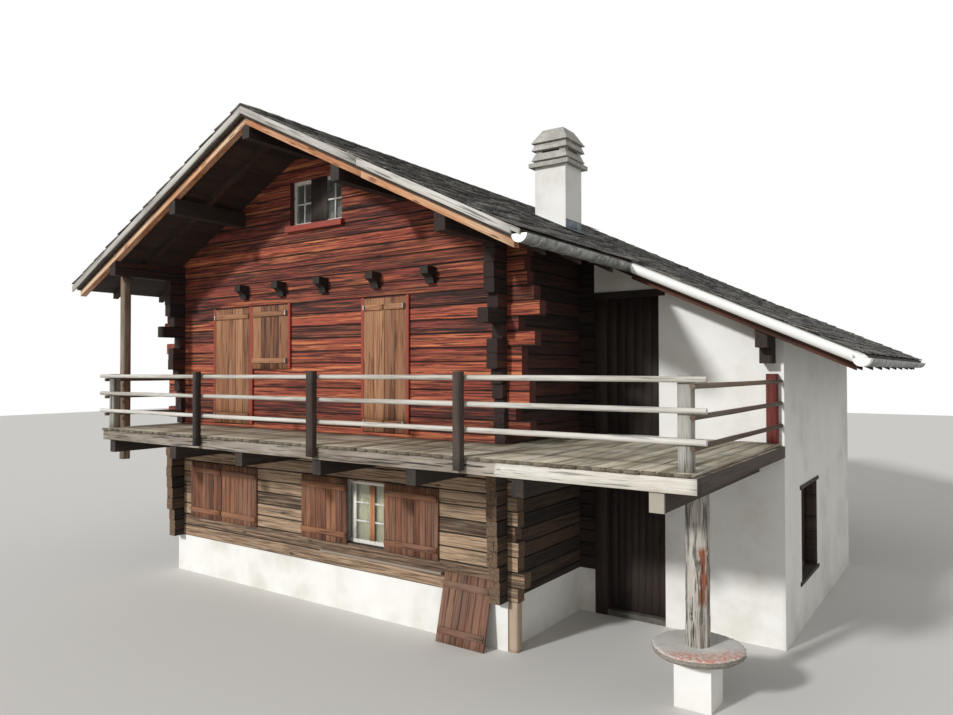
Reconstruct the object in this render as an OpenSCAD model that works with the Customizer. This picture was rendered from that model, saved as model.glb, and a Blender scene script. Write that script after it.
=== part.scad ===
// Alpine chalet: a squared-log block with notched corners on a rendered plinth, a masonry annex under the
// drawn-out roof slope, a railed terrace deck on a mushroom-stone post, slated roof and rendered chimney.
// Millimetres, +Z up. Origin: ground level at the front right corner of the log block.
// +X runs along the front towards the annex, +Y runs into the house.

/* [Log block] */
// Width of the log block along the front
block_w = 7080; // [6000:10:9000]
// Depth of the log block
block_d = 8400; // [7000:10:11000]
// Thickness of the squared wall logs
log_t = 160; // [120:5:200]
// Height of one log course
course_h = 192; // [170:1:220]
// Bevel along each log's edges
log_bevel = 12; // [6:1:20]
// Height of the rendered plinth
plinth_h = 634; // [500:1:800]
// Courses in the ground storey
ground_courses = 10; // [9:1:11]
// Depth of the timber upper floor
floor_t = 196; // [120:1:260]
// Height of the attic joists
joist_h = 230; // [140:5:240]
// Width of the attic joists
joist_w = 140; // [100:5:180]
// Reach of the joist ends past the gable walls
joist_reach = 190; // [100:5:300]
// Underside of the attic joists above ground
joist_z = 4785; // [4500:5:5000]
// Reach of the inner cross wall's log ends past the log block's right side
cross_reach = 255; // [150:5:400]

/* [Roof] */
// Ridge height at the top of the slates
ridge_z = 7320; // [6800:5:8000]
// Height of the eaves of the log block at the top of the slates
eave_z = 5082; // [4700:2:5400]
// Overhang of the eaves past the side walls
eave_over = 1050; // [600:10:1300]
// Overhang of the verges past the gable walls
verge_over = 1390; // [800:10:1700]
// Depth of the slates with their battens and boarding, measured upright
slab_t = 135; // [100:5:180]
// Depth of the covering that reaches over the gutters, measured upright
cover_t = 45; // [30:1:70]
// Setback of the boarding and the rafter ends from the eaves
eave_cut = 115; // [95:5:160]
// Depth of the rafters, measured upright
rafter_d = 100; // [80:5:160]
// Width of a rafter
rafter_w = 90; // [70:5:120]
// Gaps between the rafters over the annex
rafter_bays = 5; // [3:1:8]
// Gap between the pieces that meet at the ridge
ridge_gap = 4; // [2:1:10]
// Clearance under pieces that lie on a slope
seat = 0.2; // [0.1:0.1:1]
// Thickness of the verge boards
verge_board_t = 30; // [20:1:45]
// Height of the verge boards, measured upright
verge_h = 60; // [40:5:100]
// Setback of the fly rafters behind the verge boards
fly_setback = 70; // [40:5:150]
// Width of a purlin
purlin_w = 150; // [120:5:200]
// Height of a purlin
purlin_h = 200; // [160:5:260]
// Radius of the half-round gutters
gutter_r = 95; // [60:1:110]
// Thickness of the gutter metal as modelled
gutter_t = 4; // [3:1:6]
// Diameter of the rain pipe along the annex verge
pipe_d = 120; // [80:5:140]

/* [Annex] */
// Distance of the annex front from the front of the log block
annex_y = 2030; // [1600:10:2600]
// Width of the annex beyond the log block
annex_w = 2920; // [2400:10:3600]
// Depth of the annex
annex_d = 5100; // [4000:10:6000]
// Thickness of the masonry walls
wall_t = 350; // [250:10:500]
// Overhang of the annex eaves past the annex wall
annex_eave = 1010; // [600:10:1200]
// Overhang of the annex verge past the annex front
annex_verge = 540; // [300:10:700]
// Fall of the annex roof over its run, in percent
annex_fall = 45.7; // [40:0.1:50]

/* [Doors and windows] */
// Width of the ground door opening
door_w = 880; // [750:10:1000]
// Height of the ground door opening above the ground floor
door_h = 1900; // [1750:10:2050]
// Distance of both annex doors from the log block
door_x = 450; // [300:10:600]
// Thickness of the ground door leaf
leaf_t = 40; // [30:1:55]
// Gap round the ground door leaf
leaf_gap = 8; // [6:1:12]
// Width of the upper annex door
upper_door_w = 800; // [650:10:900]
// Height of the upper annex door
upper_door_h = 1990; // [1850:10:2050]
// Height of the doors onto the terrace
terrace_door_h = 1940; // [1850:10:2050]
// Thickness of the shutter leaves
shutter_t = 32; // [25:1:45]
// Width of the window frame timbers
frame_w = 55; // [40:1:80]
// Depth of the window frames
frame_d = 60; // [40:1:80]
// Thickness of the window panes
glass_t = 8; // [4:1:10]

/* [Terrace deck] */
// Depth of the deck before the front wall
deck_d = 1450; // [1000:10:2000]
// Thickness of the deck boards
board_t = 40; // [30:1:60]
// Height of the deck joists and front beam
deck_joist_h = 150; // [120:5:150]
// Width of the deck joists
deck_joist_w = 110; // [80:5:160]
// Thickness of the board that closes the joists on the right
deck_side_t = 40; // [25:5:60]
// Height of the deck's carrying beams
beam_h = 200; // [160:5:260]
// Width of the deck's carrying beams
beam_w = 145; // [120:5:200]
// Distance of the outer beam from the right edge of the deck
beam_in = 385; // [300:5:700]
// Height of the top rail above the deck
rail_z = 854; // [800:1:1100]
// Rail diameter
rail_d = 60; // [45:1:80]
// Thickness of the railing posts
rail_post = 100; // [80:1:140]
// Thickness of the railing's corner and wall posts
corner_post = 130; // [90:1:160]

/* [Mushroom-stone post] */
// Diameter of the round post
post_d = 265; // [200:5:300]
// Distance of the round post from the right edge of the deck
post_in = 440; // [350:5:700]
// Diameter of the stone disc
disc_d = 1000; // [800:10:1100]
// Thickness of the stone disc
disc_t = 90; // [70:1:130]
// Height of the pier under the disc
pier_h = 545; // [400:5:700]
// Width of the square pier
pier_w = 400; // [350:5:500]

/* [Chimney] */
// Width of the chimney stack
stack_w = 575; // [450:5:700]
// Thickness of the stack's walls
stack_t = 120; // [90:5:160]
// Height of the top of the stack above ground
stack_z = 6990; // [6600:10:7400]
// Distance of the stack's near face from the front wall
stack_y = 2740; // [2000:10:4000]
// Distance of the stack's outer face from the log block's side
stack_x = 595; // [400:5:1200]

/* [Hidden] */
$fn = 48;
ridge_x = -block_w / 2;
eave_x = eave_over;
eave_left = -block_w - eave_over;
roof_front = -verge_over;
roof_back = block_d + verge_over;
pitch = (ridge_z - eave_z) / (eave_x - ridge_x);
annex_back = annex_y + annex_d;
annex_eave_x = annex_w + annex_eave;
annex_eave_z = eave_z - annex_fall / 100 * (annex_eave_x - eave_x);
annex_roof_y = annex_y - annex_verge;
under_t = slab_t + rafter_d;
deck_z = plinth_h + (ground_courses + 0.5) * course_h;
slab_low = 80;
prop = 130;
deck_left = -block_w + prop / 2;
deck_under = deck_z - board_t;
beam_top = deck_under - deck_joist_h;
beam_low = beam_top - beam_h;
post_x = annex_w - post_in;
beam_x = annex_w - beam_in;
post_y = -90;
disc_top = pier_h + disc_t;
stack_right = -stack_x;
stack_left = stack_right - stack_w;
door_z = slab_low + door_h;
gable_courses = ceil((ridge_z - plinth_h) / course_h) - ground_courses;
upper_courses = ceil((eave_z + pitch * (eave_over + log_t) - plinth_h) / course_h) - ground_courses;
mid_purlin = 1770;
annex_purlin_reach = 430;
ground_sill = plinth_h + 2 * course_h;
upper_sill = deck_z + 970;
sash_h = 930;
upper_sash_h = 1030;
hanging_y = -1105;
hinge_x = door_x + 20;
leaf_y = annex_y + 100;
hinge_y = leaf_y + leaf_t + 14;
big = 20000;

// Reach of the front and back walls' log ends past the sides, one value a course: from the plinth to the
// deck, then from the deck up
front_low = [150, 250, 150, 160, 110, 150, 140, 110, 130];
front_high = [340, 130, 330, 330, 220, 220, 410, 170, 480, 400, 300, 260, 300, 280];
// Reach of the side walls' log ends past the front and back, in the same order
side_low = [190, 200, 245, 240, 252, 262, 250, 270, 255];
side_high = [50, 80, 65, 110, 140, 240, 235, 115, 440, 220, 300, 310, 290, 305];
// Reach of the half log between the plinth and the first side course
half_reach = 190;
// Places of the attic joists along the front, measured leftwards from the corner
joist_at = [1220, 2240, 3320, 4280, 5200];
// Front windows and doors: left edge, width, sill height, height
ground_left_window = [-block_w + 460, 1690, ground_sill, sash_h];
ground_mid_window = [-3720, 1610, ground_sill, sash_h];
upper_left_door = [-block_w + 1090, 915, deck_z + 50, terrace_door_h];
upper_left_window = [upper_left_door[0] + 990, 870, upper_sill, upper_sash_h];
upper_right_door = [-2480, 810, deck_z + 50, terrace_door_h];
attic_window = [ridge_x - 575, 1150, ridge_z - 1430, 730];
// Ground storey shutter leaves: left edge and width
ground_leaves = [[-block_w + 400, 865], [-block_w + 1280, 910], [-3810, 980], [-2080, 980]];
// Windows of the hidden sides: distance from the front or from the right side, width, sill height, height
left_windows = [for (z = [[ground_sill, sash_h], [upper_sill, upper_sash_h]])
                for (y = [1900, 5400]) [y, 900, z[0], z[1]]];
back_windows = [for (z = [[ground_sill, sash_h], [upper_sill, upper_sash_h]])
                for (x = [-block_w + 1480, -2500]) [x, 900, z[0], z[1]]];
// Annex window: distance from the front of the log block, width, sill height, height
annex_window = [annex_y + 990, 1110, 650, 1280];
lintel_h = 100;
lintel_over = 95;
// Drip board of the ground storey: left edge, width
drip_board = [ground_mid_window[0] + 360, 2330];

function roof_z(x) = x > eave_x ? eave_z - annex_fall / 100 * (x - eave_x) : ridge_z - pitch * abs(x - ridge_x);

// Reach of course k's log ends: none beside the deck, flush under the roof where the list ends
function reach_at(k, low, high, first_high) =
    k < ground_courses - 1 ? low[min(k, len(low) - 1)]
    : k < first_high || k - first_high >= len(high) ? 0
    : high[k - first_high];
function front_reach(k) = reach_at(k, front_low, front_high, ground_courses + 1);
function side_reach(k) = reach_at(k, side_low, side_high, ground_courses);

// Outline of a stack of n squared logs, bevelled along every edge: outer face at 0, inner face at log_t
function stack_outline(n) = concat(
    [for (k = [0 : n - 1]) each [[log_bevel, k * course_h], [0, k * course_h + log_bevel],
                                 [0, (k + 1) * course_h - log_bevel]]],
    [[log_bevel, n * course_h], [log_t - log_bevel, n * course_h]],
    [for (k = [n - 1 : -1 : 0]) each [[log_t, (k + 1) * course_h - log_bevel], [log_t, k * course_h + log_bevel],
                                      [log_t - log_bevel, k * course_h]]]);

// Prism along Y from an outline drawn in X and Z
module prism_y(y0, y1) {
    translate([0, y1, 0])
        rotate([90, 0, 0])
            linear_extrude(y1 - y0)
                children();
}

// Space under the roof covering, over the log block and the annex, a given depth below the slates
module under_roof(depth) {
    prism_y(roof_front, roof_back)
        polygon([[eave_left, 0], [eave_left, roof_z(eave_left) - depth], [ridge_x, ridge_z - depth],
                 [eave_x, eave_z - depth], [annex_eave_x, annex_eave_z - depth], [annex_eave_x, 0]]);
}

// Logs along X: the wall between the corners, outer face at y = 0
module front_logs(first, count) {
    translate([-block_w + log_t, 0, plinth_h + first * course_h])
        rotate([90, 0, 90])
            linear_extrude(block_w - 2 * log_t)
                polygon(stack_outline(count));
}

// One course's notched neck and projecting end at the right corner, for a log along X
module front_end(k, reach) {
    translate([-log_t, 0, plinth_h + (k + 0.25) * course_h])
        cube([log_t, log_t, course_h / 2]);
    if (reach > 0)
        translate([0, 0, plinth_h + k * course_h])
            rotate([90, 0, 90])
                linear_extrude(reach)
                    polygon(stack_outline(1));
}

// Front wall of a storey with its notched ends at both corners
module front_courses(first, count, ends) {
    front_logs(first, count);
    for (k = [first : first + ends - 1]) {
        front_end(k, front_reach(k));
        translate([-block_w, 0, 0])
            mirror([1, 0, 0])
                front_end(k, front_reach(k));
    }
}

// The same storey at the back of the block
module back_courses(first, count, ends) {
    translate([0, block_d, 0])
        mirror([0, 1, 0])
            front_courses(first, count, ends);
}

// Logs along Y: courses half a log higher than those of the front, outer face at x = 0
module side_logs(z0, count) {
    translate([0, log_t, z0])
        rotate([90, 0, 180])
            linear_extrude(block_d - 2 * log_t)
                polygon(stack_outline(count));
}

// One side course's notched neck and forward end at the front right corner
module side_end(k, reach) {
    translate([-log_t, 0, plinth_h + (k + 0.75) * course_h])
        cube([log_t, log_t, course_h / 2]);
    if (reach > 0)
        translate([0, -reach, plinth_h + (k + 0.5) * course_h])
            rotate([90, 0, 180])
                linear_extrude(reach)
                    polygon(stack_outline(1));
}

// Right side wall of a storey with its notched ends at the front and back
module side_courses(first, count) {
    side_logs(plinth_h + (first + 0.5) * course_h, count);
    for (k = [first : first + count - 1]) {
        side_end(k, side_reach(k));
        translate([0, block_d, 0])
            mirror([0, 1, 0])
                side_end(k, side_reach(k));
    }
}

// Half log that levels the right side wall on the plinth
module half_log() {
    translate([-log_t, 0, plinth_h])
        cube([log_t, block_d, course_h / 4]);
    for (y = [-half_reach, block_d])
        translate([-log_t, y, plinth_h])
            cube([log_t, half_reach, course_h / 2]);
    translate([-log_t, log_t, plinth_h])
        cube([log_t, block_d - 2 * log_t, course_h / 2]);
}

// Repeats the right side wall on the left of the block
module left_and_right() {
    children();
    translate([-block_w, 0, 0])
        mirror([1, 0, 0])
            children();
}

// Hole through a wall along X for a window or door given as [left, width, sill, height]
module hole_x(w, y0, y1) {
    translate([w[0], y0, w[2]])
        cube([w[1], y1 - y0, w[3]]);
}

// Hole through a wall along Y
module hole_y(w, x0, x1) {
    translate([x0, w[0], w[2]])
        cube([x1 - x0, w[1], w[3]]);
}

module ground_floor() {
    color("grey") {
        translate([-block_w + log_t, log_t, 0])
            cube([block_w - 2 * log_t, block_d - 2 * log_t, slab_low]);
        translate([0, annex_y + wall_t, 0])
            cube([annex_w - wall_t, annex_d - 2 * wall_t, slab_low]);
        translate([0, annex_y + log_t, 0])
            cube([cross_reach, wall_t - log_t, slab_low]);
        translate([door_x, annex_y, 0])
            cube([door_w, wall_t, slab_low]);
    }
}

module plinth_front_back() {
    color("white")
        for (y = [0, block_d - log_t])
            translate([-block_w, y, 0])
                cube([block_w, log_t, plinth_h]);
}

// Plinth under the side walls and under the ends of the inner cross wall
module plinth_sides() {
    color("white") {
        for (x = [-block_w, -log_t])
            translate([x, log_t, 0])
                cube([log_t, block_d - 2 * log_t, plinth_h]);
        translate([0, annex_y, 0])
            cube([cross_reach, log_t, plinth_h]);
    }
}

module ground_front_wall() {
    color("saddlebrown")
        difference() {
            front_courses(0, ground_courses, ground_courses);
            hole_x(ground_left_window, -1, log_t + 1);
            hole_x(ground_mid_window, -1, log_t + 1);
            deck_beams();
        }
}

module ground_back_wall() {
    color("saddlebrown")
        difference() {
            back_courses(0, ground_courses, ground_courses);
            for (w = [back_windows[0], back_windows[1]])
                hole_x(w, block_d - log_t - 1, block_d + 1);
        }
}

module ground_side_walls() {
    color("saddlebrown")
        difference() {
            left_and_right() {
                half_log();
                side_courses(0, ground_courses - 1);
            }
            for (w = [left_windows[0], left_windows[1]])
                hole_y(w, -block_w - 1, -block_w + log_t + 1);
        }
}

module upper_front_wall() {
    color("sienna")
        difference() {
            intersection() {
                front_courses(ground_courses, gable_courses, upper_courses);
                under_roof(slab_t + seat);
            }
            hole_x(upper_left_door, -1, log_t + 1);
            hole_x(upper_left_window, -1, log_t + 1);
            hole_x(upper_right_door, -1, log_t + 1);
            hole_x(attic_window, -1, log_t + 1);
            attic_joists();
            purlins();
            wall_plates();
        }
}

module upper_back_wall() {
    color("sienna")
        difference() {
            intersection() {
                back_courses(ground_courses, gable_courses, upper_courses);
                under_roof(slab_t + seat);
            }
            for (w = [back_windows[2], back_windows[3], attic_window])
                hole_x(w, block_d - log_t - 1, block_d + 1);
            attic_joists();
            purlins();
            wall_plates();
        }
}

module upper_side_walls() {
    color("sienna")
        difference() {
            union() {
                intersection() {
                    left_and_right()
                        side_courses(ground_courses - 1, upper_courses + 1);
                    under_roof(slab_t + seat);
                }
                wall_plates();
            }
            for (w = [left_windows[2], left_windows[3]])
                hole_y(w, -block_w - 1, -block_w + log_t + 1);
            rafter_slots();
        }
}

module upper_floor() {
    color("peru") {
        translate([-block_w + log_t, log_t, deck_z - floor_t])
            cube([block_w - 2 * log_t, block_d - 2 * log_t, floor_t]);
        translate([0, annex_y + wall_t, deck_z - floor_t])
            cube([annex_w - wall_t, annex_d - 2 * wall_t, floor_t]);
        translate([0, annex_y + log_t, deck_z - floor_t])
            cube([cross_reach, wall_t - log_t, floor_t]);
    }
}

// Joists with their ends hollowed out below
module attic_joists() {
    cove = joist_h * 0.55;
    color("saddlebrown")
        for (x = joist_at)
            difference() {
                translate([-x - joist_w / 2, -joist_reach, joist_z])
                    cube([joist_w, block_d + 2 * joist_reach, joist_h]);
                for (y = [-joist_reach, block_d + joist_reach])
                    translate([-x - joist_w, y, joist_z])
                        rotate([0, 90, 0])
                            cylinder(r = cove, h = 2 * joist_w);
            }
}

module attic_floor() {
    color("peru")
        translate([-block_w + log_t, log_t, joist_z + joist_h])
            cube([block_w - 2 * log_t, block_d - 2 * log_t, board_t]);
}

// Purlin along Y with its top cut to the underside of the rafters
module purlin(x, w, y0, y1) {
    intersection() {
        translate([x - w / 2, y0, roof_z(x) - under_t - purlin_h])
            cube([w, y1 - y0, 2 * purlin_h]);
        under_roof(under_t + seat);
    }
}

// Top logs of the side walls, drawn out under both verges
module wall_plates() {
    left_and_right()
        purlin(-log_t / 2, log_t, roof_front + fly_setback, roof_back - fly_setback);
}

module purlins() {
    color("saddlebrown") {
        for (x = [ridge_x - mid_purlin, ridge_x, ridge_x + mid_purlin])
            purlin(x, purlin_w, roof_front + fly_setback, roof_back - fly_setback);
        purlin(annex_w - wall_t / 2, purlin_w, annex_y - annex_purlin_reach, roof_back - fly_setback);
    }
}

// Rafter of the right slope, ending behind the gutter or drawn out over the annex where long is true
module rafter_right(y, long) {
    x0 = ridge_x + ridge_gap / 2;
    x1 = long ? annex_eave_x - eave_cut : eave_x - eave_cut;
    bend = long ? [eave_x] : [];
    xs = concat([x0], bend, [x1]);
    prism_y(y, y + rafter_w)
        polygon(concat([for (x = xs) [x, roof_z(x) - slab_t]],
                       [for (i = [len(xs) - 1 : -1 : 0]) [xs[i], roof_z(xs[i]) - under_t]]));
}

// Rafter of the left slope
module rafter_left(y) {
    translate([2 * ridge_x, 0, 0])
        mirror([1, 0, 0])
            rafter_right(y, false);
}

// Near faces of the common rafters: one in each overhang, one behind each gable wall and one halfway to
// the annex, the rest from the annex's front face to its back face
rafter_at = concat([roof_front / 2 - rafter_w / 2, log_t, (log_t + annex_y) / 2],
                   [for (i = [0 : rafter_bays]) annex_y + i * (annex_d - rafter_w) / rafter_bays],
                   [block_d - log_t - rafter_w, block_d + verge_over / 2 - rafter_w / 2]);

// Slots that the rafters leave in the walls they cross
module rafter_slots() {
    difference() {
        for (y = rafter_at)
            translate([eave_left, y, 0])
                cube([annex_eave_x - eave_left, rafter_w, big]);
        under_roof(under_t + seat);
    }
}

module rafters() {
    color("burlywood")
        for (y = rafter_at) {
            rafter_left(y);
            rafter_right(y, y > annex_roof_y + fly_setback + 2 * rafter_w);
        }
}

module fly_rafters() {
    back_y = roof_back - fly_setback - rafter_w;
    color("orange") {
        for (y = [roof_front + fly_setback, back_y])
            rafter_left(y);
        rafter_right(roof_front + fly_setback, false);
        rafter_right(back_y, true);
        prism_y(annex_roof_y + fly_setback, annex_roof_y + fly_setback + rafter_w)
            band(eave_x, annex_eave_x - eave_cut, slab_t, under_t);
    }
}

// Outline between two depths below the slates, from x0 down to x1
module band(x0, x1, high, low) {
    polygon([[x0, roof_z(x0) - low], [x0, roof_z(x0) - high], [x1, roof_z(x1) - high], [x1, roof_z(x1) - low]]);
}

// Roof covering with what lies under it to a given depth, cut back below behind the gutter that hangs at x1
module covering(x0, x1, depth) {
    back = x1 - eave_cut;
    polygon([[x0, roof_z(x0) - depth], [x0, roof_z(x0)], [x1, roof_z(x1)], [x1, roof_z(x1) - cover_t],
             [back, roof_z(back) - cover_t], [back, roof_z(back) - depth]]);
}

// Turns an outline of the right slope over to the left one
module to_left() {
    translate([2 * ridge_x, 0])
        mirror([1, 0])
            children();
}

// Main roof's right slope: behind the annex's front verge it runs on into the annex roof without a step
module roof_right_slope() {
    color("dimgrey") {
        prism_y(roof_front, annex_roof_y)
            covering(ridge_x, eave_x, slab_t);
        prism_y(annex_roof_y, roof_back)
            band(ridge_x, eave_x, 0, slab_t);
    }
}

module roof_left_slope() {
    color("dimgrey")
        prism_y(roof_front, roof_back)
            to_left()
                covering(ridge_x, eave_x, slab_t);
}

module annex_roof() {
    color("dimgrey")
        prism_y(annex_roof_y, roof_back)
            covering(eave_x, annex_eave_x, slab_t);
}

module verge_boards() {
    top_x = ridge_x + ridge_gap / 2;
    color("darkgrey") {
        for (y = [roof_front - verge_board_t, roof_back]) {
            prism_y(y, y + verge_board_t)
                covering(top_x, eave_x, verge_h);
            prism_y(y, y + verge_board_t)
                to_left()
                    covering(top_x, eave_x, verge_h);
        }
        for (y = [annex_roof_y - verge_board_t, roof_back])
            prism_y(y, y + verge_board_t)
                covering(eave_x, annex_eave_x, verge_h);
    }
}

// Half-round gutter under an eave's covering: closed at both ends, with a flange on the boarding's edge
module gutter(x, z, y0, y1) {
    translate([x - eave_cut + gutter_r, 0, z - cover_t - 1]) {
        difference() {
            translate([0, y1, 0])
                rotate([90, 0, 0])
                    cylinder(r = gutter_r, h = y1 - y0);
            translate([0, y1 - gutter_t, 0])
                rotate([90, 0, 0])
                    cylinder(r = gutter_r - gutter_t, h = y1 - y0 - 2 * gutter_t);
            translate([-2 * gutter_r, y0 - 1, 0])
                cube([4 * gutter_r, y1 - y0 + 2, 2 * gutter_r]);
        }
        translate([-gutter_r, y0, -gutter_t])
            cube([gutter_t, y1 - y0, cover_t]);
    }
}

// Both gutters, and the rain pipe that runs down the annex verge from one to the other
module gutters() {
    tilt = atan(annex_fall / 100);
    pipe_low = pipe_d * 0.65;
    pipe_y = annex_roof_y - verge_board_t - 5 - pipe_d / 2;
    pipe_x = annex_eave_x - eave_cut + gutter_r;
    start_x = eave_x + gutter_r - 40;
    color("lightgrey") {
        gutter(eave_x, eave_z, roof_front, annex_roof_y - verge_board_t);
        gutter(annex_eave_x, annex_eave_z, pipe_y - pipe_d, roof_back);
        translate([pipe_x, pipe_y, roof_z(pipe_x) - pipe_low]) {
            sphere(d = pipe_d + 2 * gutter_t);
            rotate([0, tilt - 90, 0])
                cylinder(d = pipe_d, h = (pipe_x - start_x) / cos(tilt));
        }
    }
}

// Upright prism over the right slope, its foot cut to the slates
module on_slope(x0, x1, y0, y1, top) {
    prism_y(y0, y1)
        polygon([[x0, roof_z(x0) + seat], [x1, roof_z(x1) + seat], [x1, top], [x0, top]]);
}

module chimney_stack() {
    color("white")
        difference() {
            on_slope(stack_left, stack_right, stack_y, stack_y + stack_w, stack_z);
            translate([stack_left + stack_t, stack_y + stack_t, 0])
                cube([stack_w - 2 * stack_t, stack_w - 2 * stack_t, big]);
        }
}

// Lead apron round the foot of the stack, turned up against its lower face
module chimney_flashing() {
    lead = 6;
    side = 50;
    below = 160;
    upstand = 190;
    color("slategrey")
        difference() {
            prism_y(stack_y - side, stack_y + stack_w + side)
                translate([0, seat + lead])
                    band(stack_left - side, stack_right + below, 0, lead);
            translate([stack_left, stack_y, 0])
                cube([stack_w, stack_w, big]);
        }
    color("slategrey")
        on_slope(stack_right, stack_right + lead, stack_y, stack_y + stack_w, roof_z(stack_right) + upstand);
}

// Square frustum of the chimney cap, wider than the stack by the given amounts at its foot and top
module cap_ring(z, foot, top, t) {
    translate([stack_left + stack_w / 2, stack_y + stack_w / 2, z])
        rotate([0, 0, 45])
            cylinder(d1 = (stack_w + foot) * sqrt(2), d2 = (stack_w + top) * sqrt(2), h = t, $fn = 4);
}

// Cap of a base slab, two louvre rings on corner posts and a hood
module chimney_cap() {
    slab = 70;
    over = 80;
    slot = 45;
    louvre = 125;
    hood = 235;
    inset = 10;
    post = 110;
    hood_z = stack_z + slab + 2 * (slot + louvre);
    color("grey") {
        difference() {
            union() {
                translate([stack_left - over, stack_y - over, stack_z])
                    cube([stack_w + 2 * over, stack_w + 2 * over, slab]);
                for (i = [0, 1])
                    cap_ring(stack_z + slab + slot + i * (slot + louvre), 90, -10, louvre);
                for (x = [stack_left + inset, stack_right - inset - post])
                    for (y = [stack_y + inset, stack_y + stack_w - inset - post])
                        translate([x, y, stack_z])
                            cube([post, post, hood_z - stack_z]);
            }
            translate([stack_left + stack_t, stack_y + stack_t, 0])
                cube([stack_w - 2 * stack_t, stack_w - 2 * stack_t, hood_z]);
        }
        cap_ring(hood_z, 100, -190, hood);
    }
}

// Masonry between the log block and the annex corner, up to the rafters
module annex_block(x0, x1, y0, y1, z0) {
    intersection() {
        translate([x0, y0, z0])
            cube([x1 - x0, y1 - y0, big]);
        under_roof(slab_t + seat);
    }
}

// Log ends of the inner cross wall and the post that both annex doors hang on
module annex_front_left() {
    count = ceil((roof_z(0) - plinth_h) / course_h);
    color("saddlebrown") {
        intersection() {
            translate([0, annex_y, plinth_h])
                rotate([90, 0, 90])
                    linear_extrude(cross_reach)
                        polygon(stack_outline(count));
            under_roof(under_t + seat);
        }
        translate([cross_reach, annex_y, 0])
            cube([door_x - cross_reach, wall_t, deck_z + upper_door_h]);
    }
}

module annex_front_over_door() {
    color("white")
        difference() {
            union() {
                annex_block(door_x, door_x + door_w, annex_y, annex_y + wall_t, door_z);
                annex_block(cross_reach, door_x, annex_y, annex_y + wall_t, deck_z + upper_door_h);
            }
            hole_x([door_x - 1, upper_door_w + 1, deck_z, upper_door_h], annex_y - 1, annex_y + wall_t + 1);
            annex_timbers();
            rafter_slots();
        }
}

module annex_front_right() {
    color("white")
        difference() {
            annex_block(door_x + door_w, annex_w, annex_y, annex_y + wall_t, 0);
            annex_timbers();
            purlins();
            rafter_slots();
        }
}

module annex_right_wall() {
    color("white")
        difference() {
            annex_block(annex_w - wall_t, annex_w, annex_y + wall_t, annex_back - wall_t, 0);
            hole_y(annex_window, annex_w - wall_t - 1, annex_w + 1);
            annex_timbers();
            purlins();
            rafter_slots();
        }
}

module annex_back_wall() {
    color("white")
        difference() {
            annex_block(0, annex_w, annex_back - wall_t, annex_back, 0);
            purlins();
            rafter_slots();
        }
}

// Lintels and sill let into the annex walls, and the corbel under the outer purlin
module annex_timbers() {
    proud = 15;
    color("saddlebrown") {
        intersection() {
            translate([cross_reach, annex_y - proud, deck_z + upper_door_h])
                cube([door_x - cross_reach + upper_door_w + lintel_over, wall_t + proud, lintel_h]);
            under_roof(under_t + seat);
        }
        for (z = [annex_window[2] - lintel_h / 2, annex_window[2] + annex_window[3]])
            translate([annex_w - wall_t / 2, annex_window[0] - lintel_over, z])
                cube([wall_t / 2 + proud, annex_window[1] + 2 * lintel_over, lintel_h / 2]);
        translate([annex_w - wall_t / 2 - purlin_w / 2, annex_y - 220,
                   roof_z(annex_w - wall_t / 2) - under_t - 2 * purlin_h])
            cube([purlin_w, 220 + wall_t / 2, purlin_h]);
    }
}

// Frame of a window in a wall along X, with an upright in the middle
module frame_x(w, y, bar) {
    difference() {
        hole_x(w, y, y + frame_d);
        hole_x([w[0] + frame_w, (w[1] - bar) / 2 - frame_w, w[2] + frame_w, w[3] - 2 * frame_w], y - 1,
               y + frame_d + 1);
        hole_x([w[0] + (w[1] + bar) / 2, (w[1] - bar) / 2 - frame_w, w[2] + frame_w, w[3] - 2 * frame_w], y - 1,
               y + frame_d + 1);
    }
}

// Panes of the same window, standing in the middle of its frame's depth
module glass_x(w, y, bar) {
    for (x = [w[0] + frame_w, w[0] + (w[1] + bar) / 2])
        hole_x([x, (w[1] - bar) / 2 - frame_w, w[2] + frame_w, w[3] - 2 * frame_w],
               y + (frame_d - glass_t) / 2, y + (frame_d + glass_t) / 2);
}

// Turns a piece made for a wall along X at y = 0 into the left side wall, distances running from the front
module on_left_wall() {
    translate([-block_w, 0, 0])
        rotate([0, 0, -90])
            mirror([1, 0, 0])
                children();
}

// The same for the annex's right wall
module on_annex_wall() {
    translate([annex_w, 0, 0])
        rotate([0, 0, 90])
            children();
}

frame_y = 90;
bar_w = 70;
attic_bar = 330;
front_windows = [ground_left_window, ground_mid_window, upper_left_door, upper_left_window, upper_right_door];

module window_frames() {
    color("white") {
        for (w = front_windows)
            frame_x(w, frame_y, bar_w);
        frame_x(attic_window, frame_y, attic_bar);
        for (w = back_windows)
            frame_x(w, block_d - frame_y - frame_d, bar_w);
        frame_x(attic_window, block_d - frame_y - frame_d, attic_bar);
        for (w = left_windows)
            on_left_wall()
                frame_x(w, frame_y, bar_w);
        on_annex_wall()
            frame_x(annex_window, 2 * frame_y, bar_w);
    }
}

module window_glass() {
    color("lightblue") {
        for (w = front_windows)
            glass_x(w, frame_y, bar_w);
        glass_x(attic_window, frame_y, attic_bar);
        for (w = back_windows)
            glass_x(w, block_d - frame_y - frame_d, bar_w);
        glass_x(attic_window, block_d - frame_y - frame_d, attic_bar);
        for (w = left_windows)
            on_left_wall()
                glass_x(w, frame_y, bar_w);
        on_annex_wall()
            glass_x(annex_window, 2 * frame_y, bar_w);
    }
}

// Ledged shutter leaf against the front wall
module leaf(x, z, w, h) {
    ledge = 85;
    inset = 90;
    translate([x, -shutter_t, z])
        cube([w, shutter_t, h]);
    for (dz = [inset, h - inset - ledge])
        translate([x + 15, -shutter_t - 22, z + dz])
            cube([w - 30, 22, ledge]);
}

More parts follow.
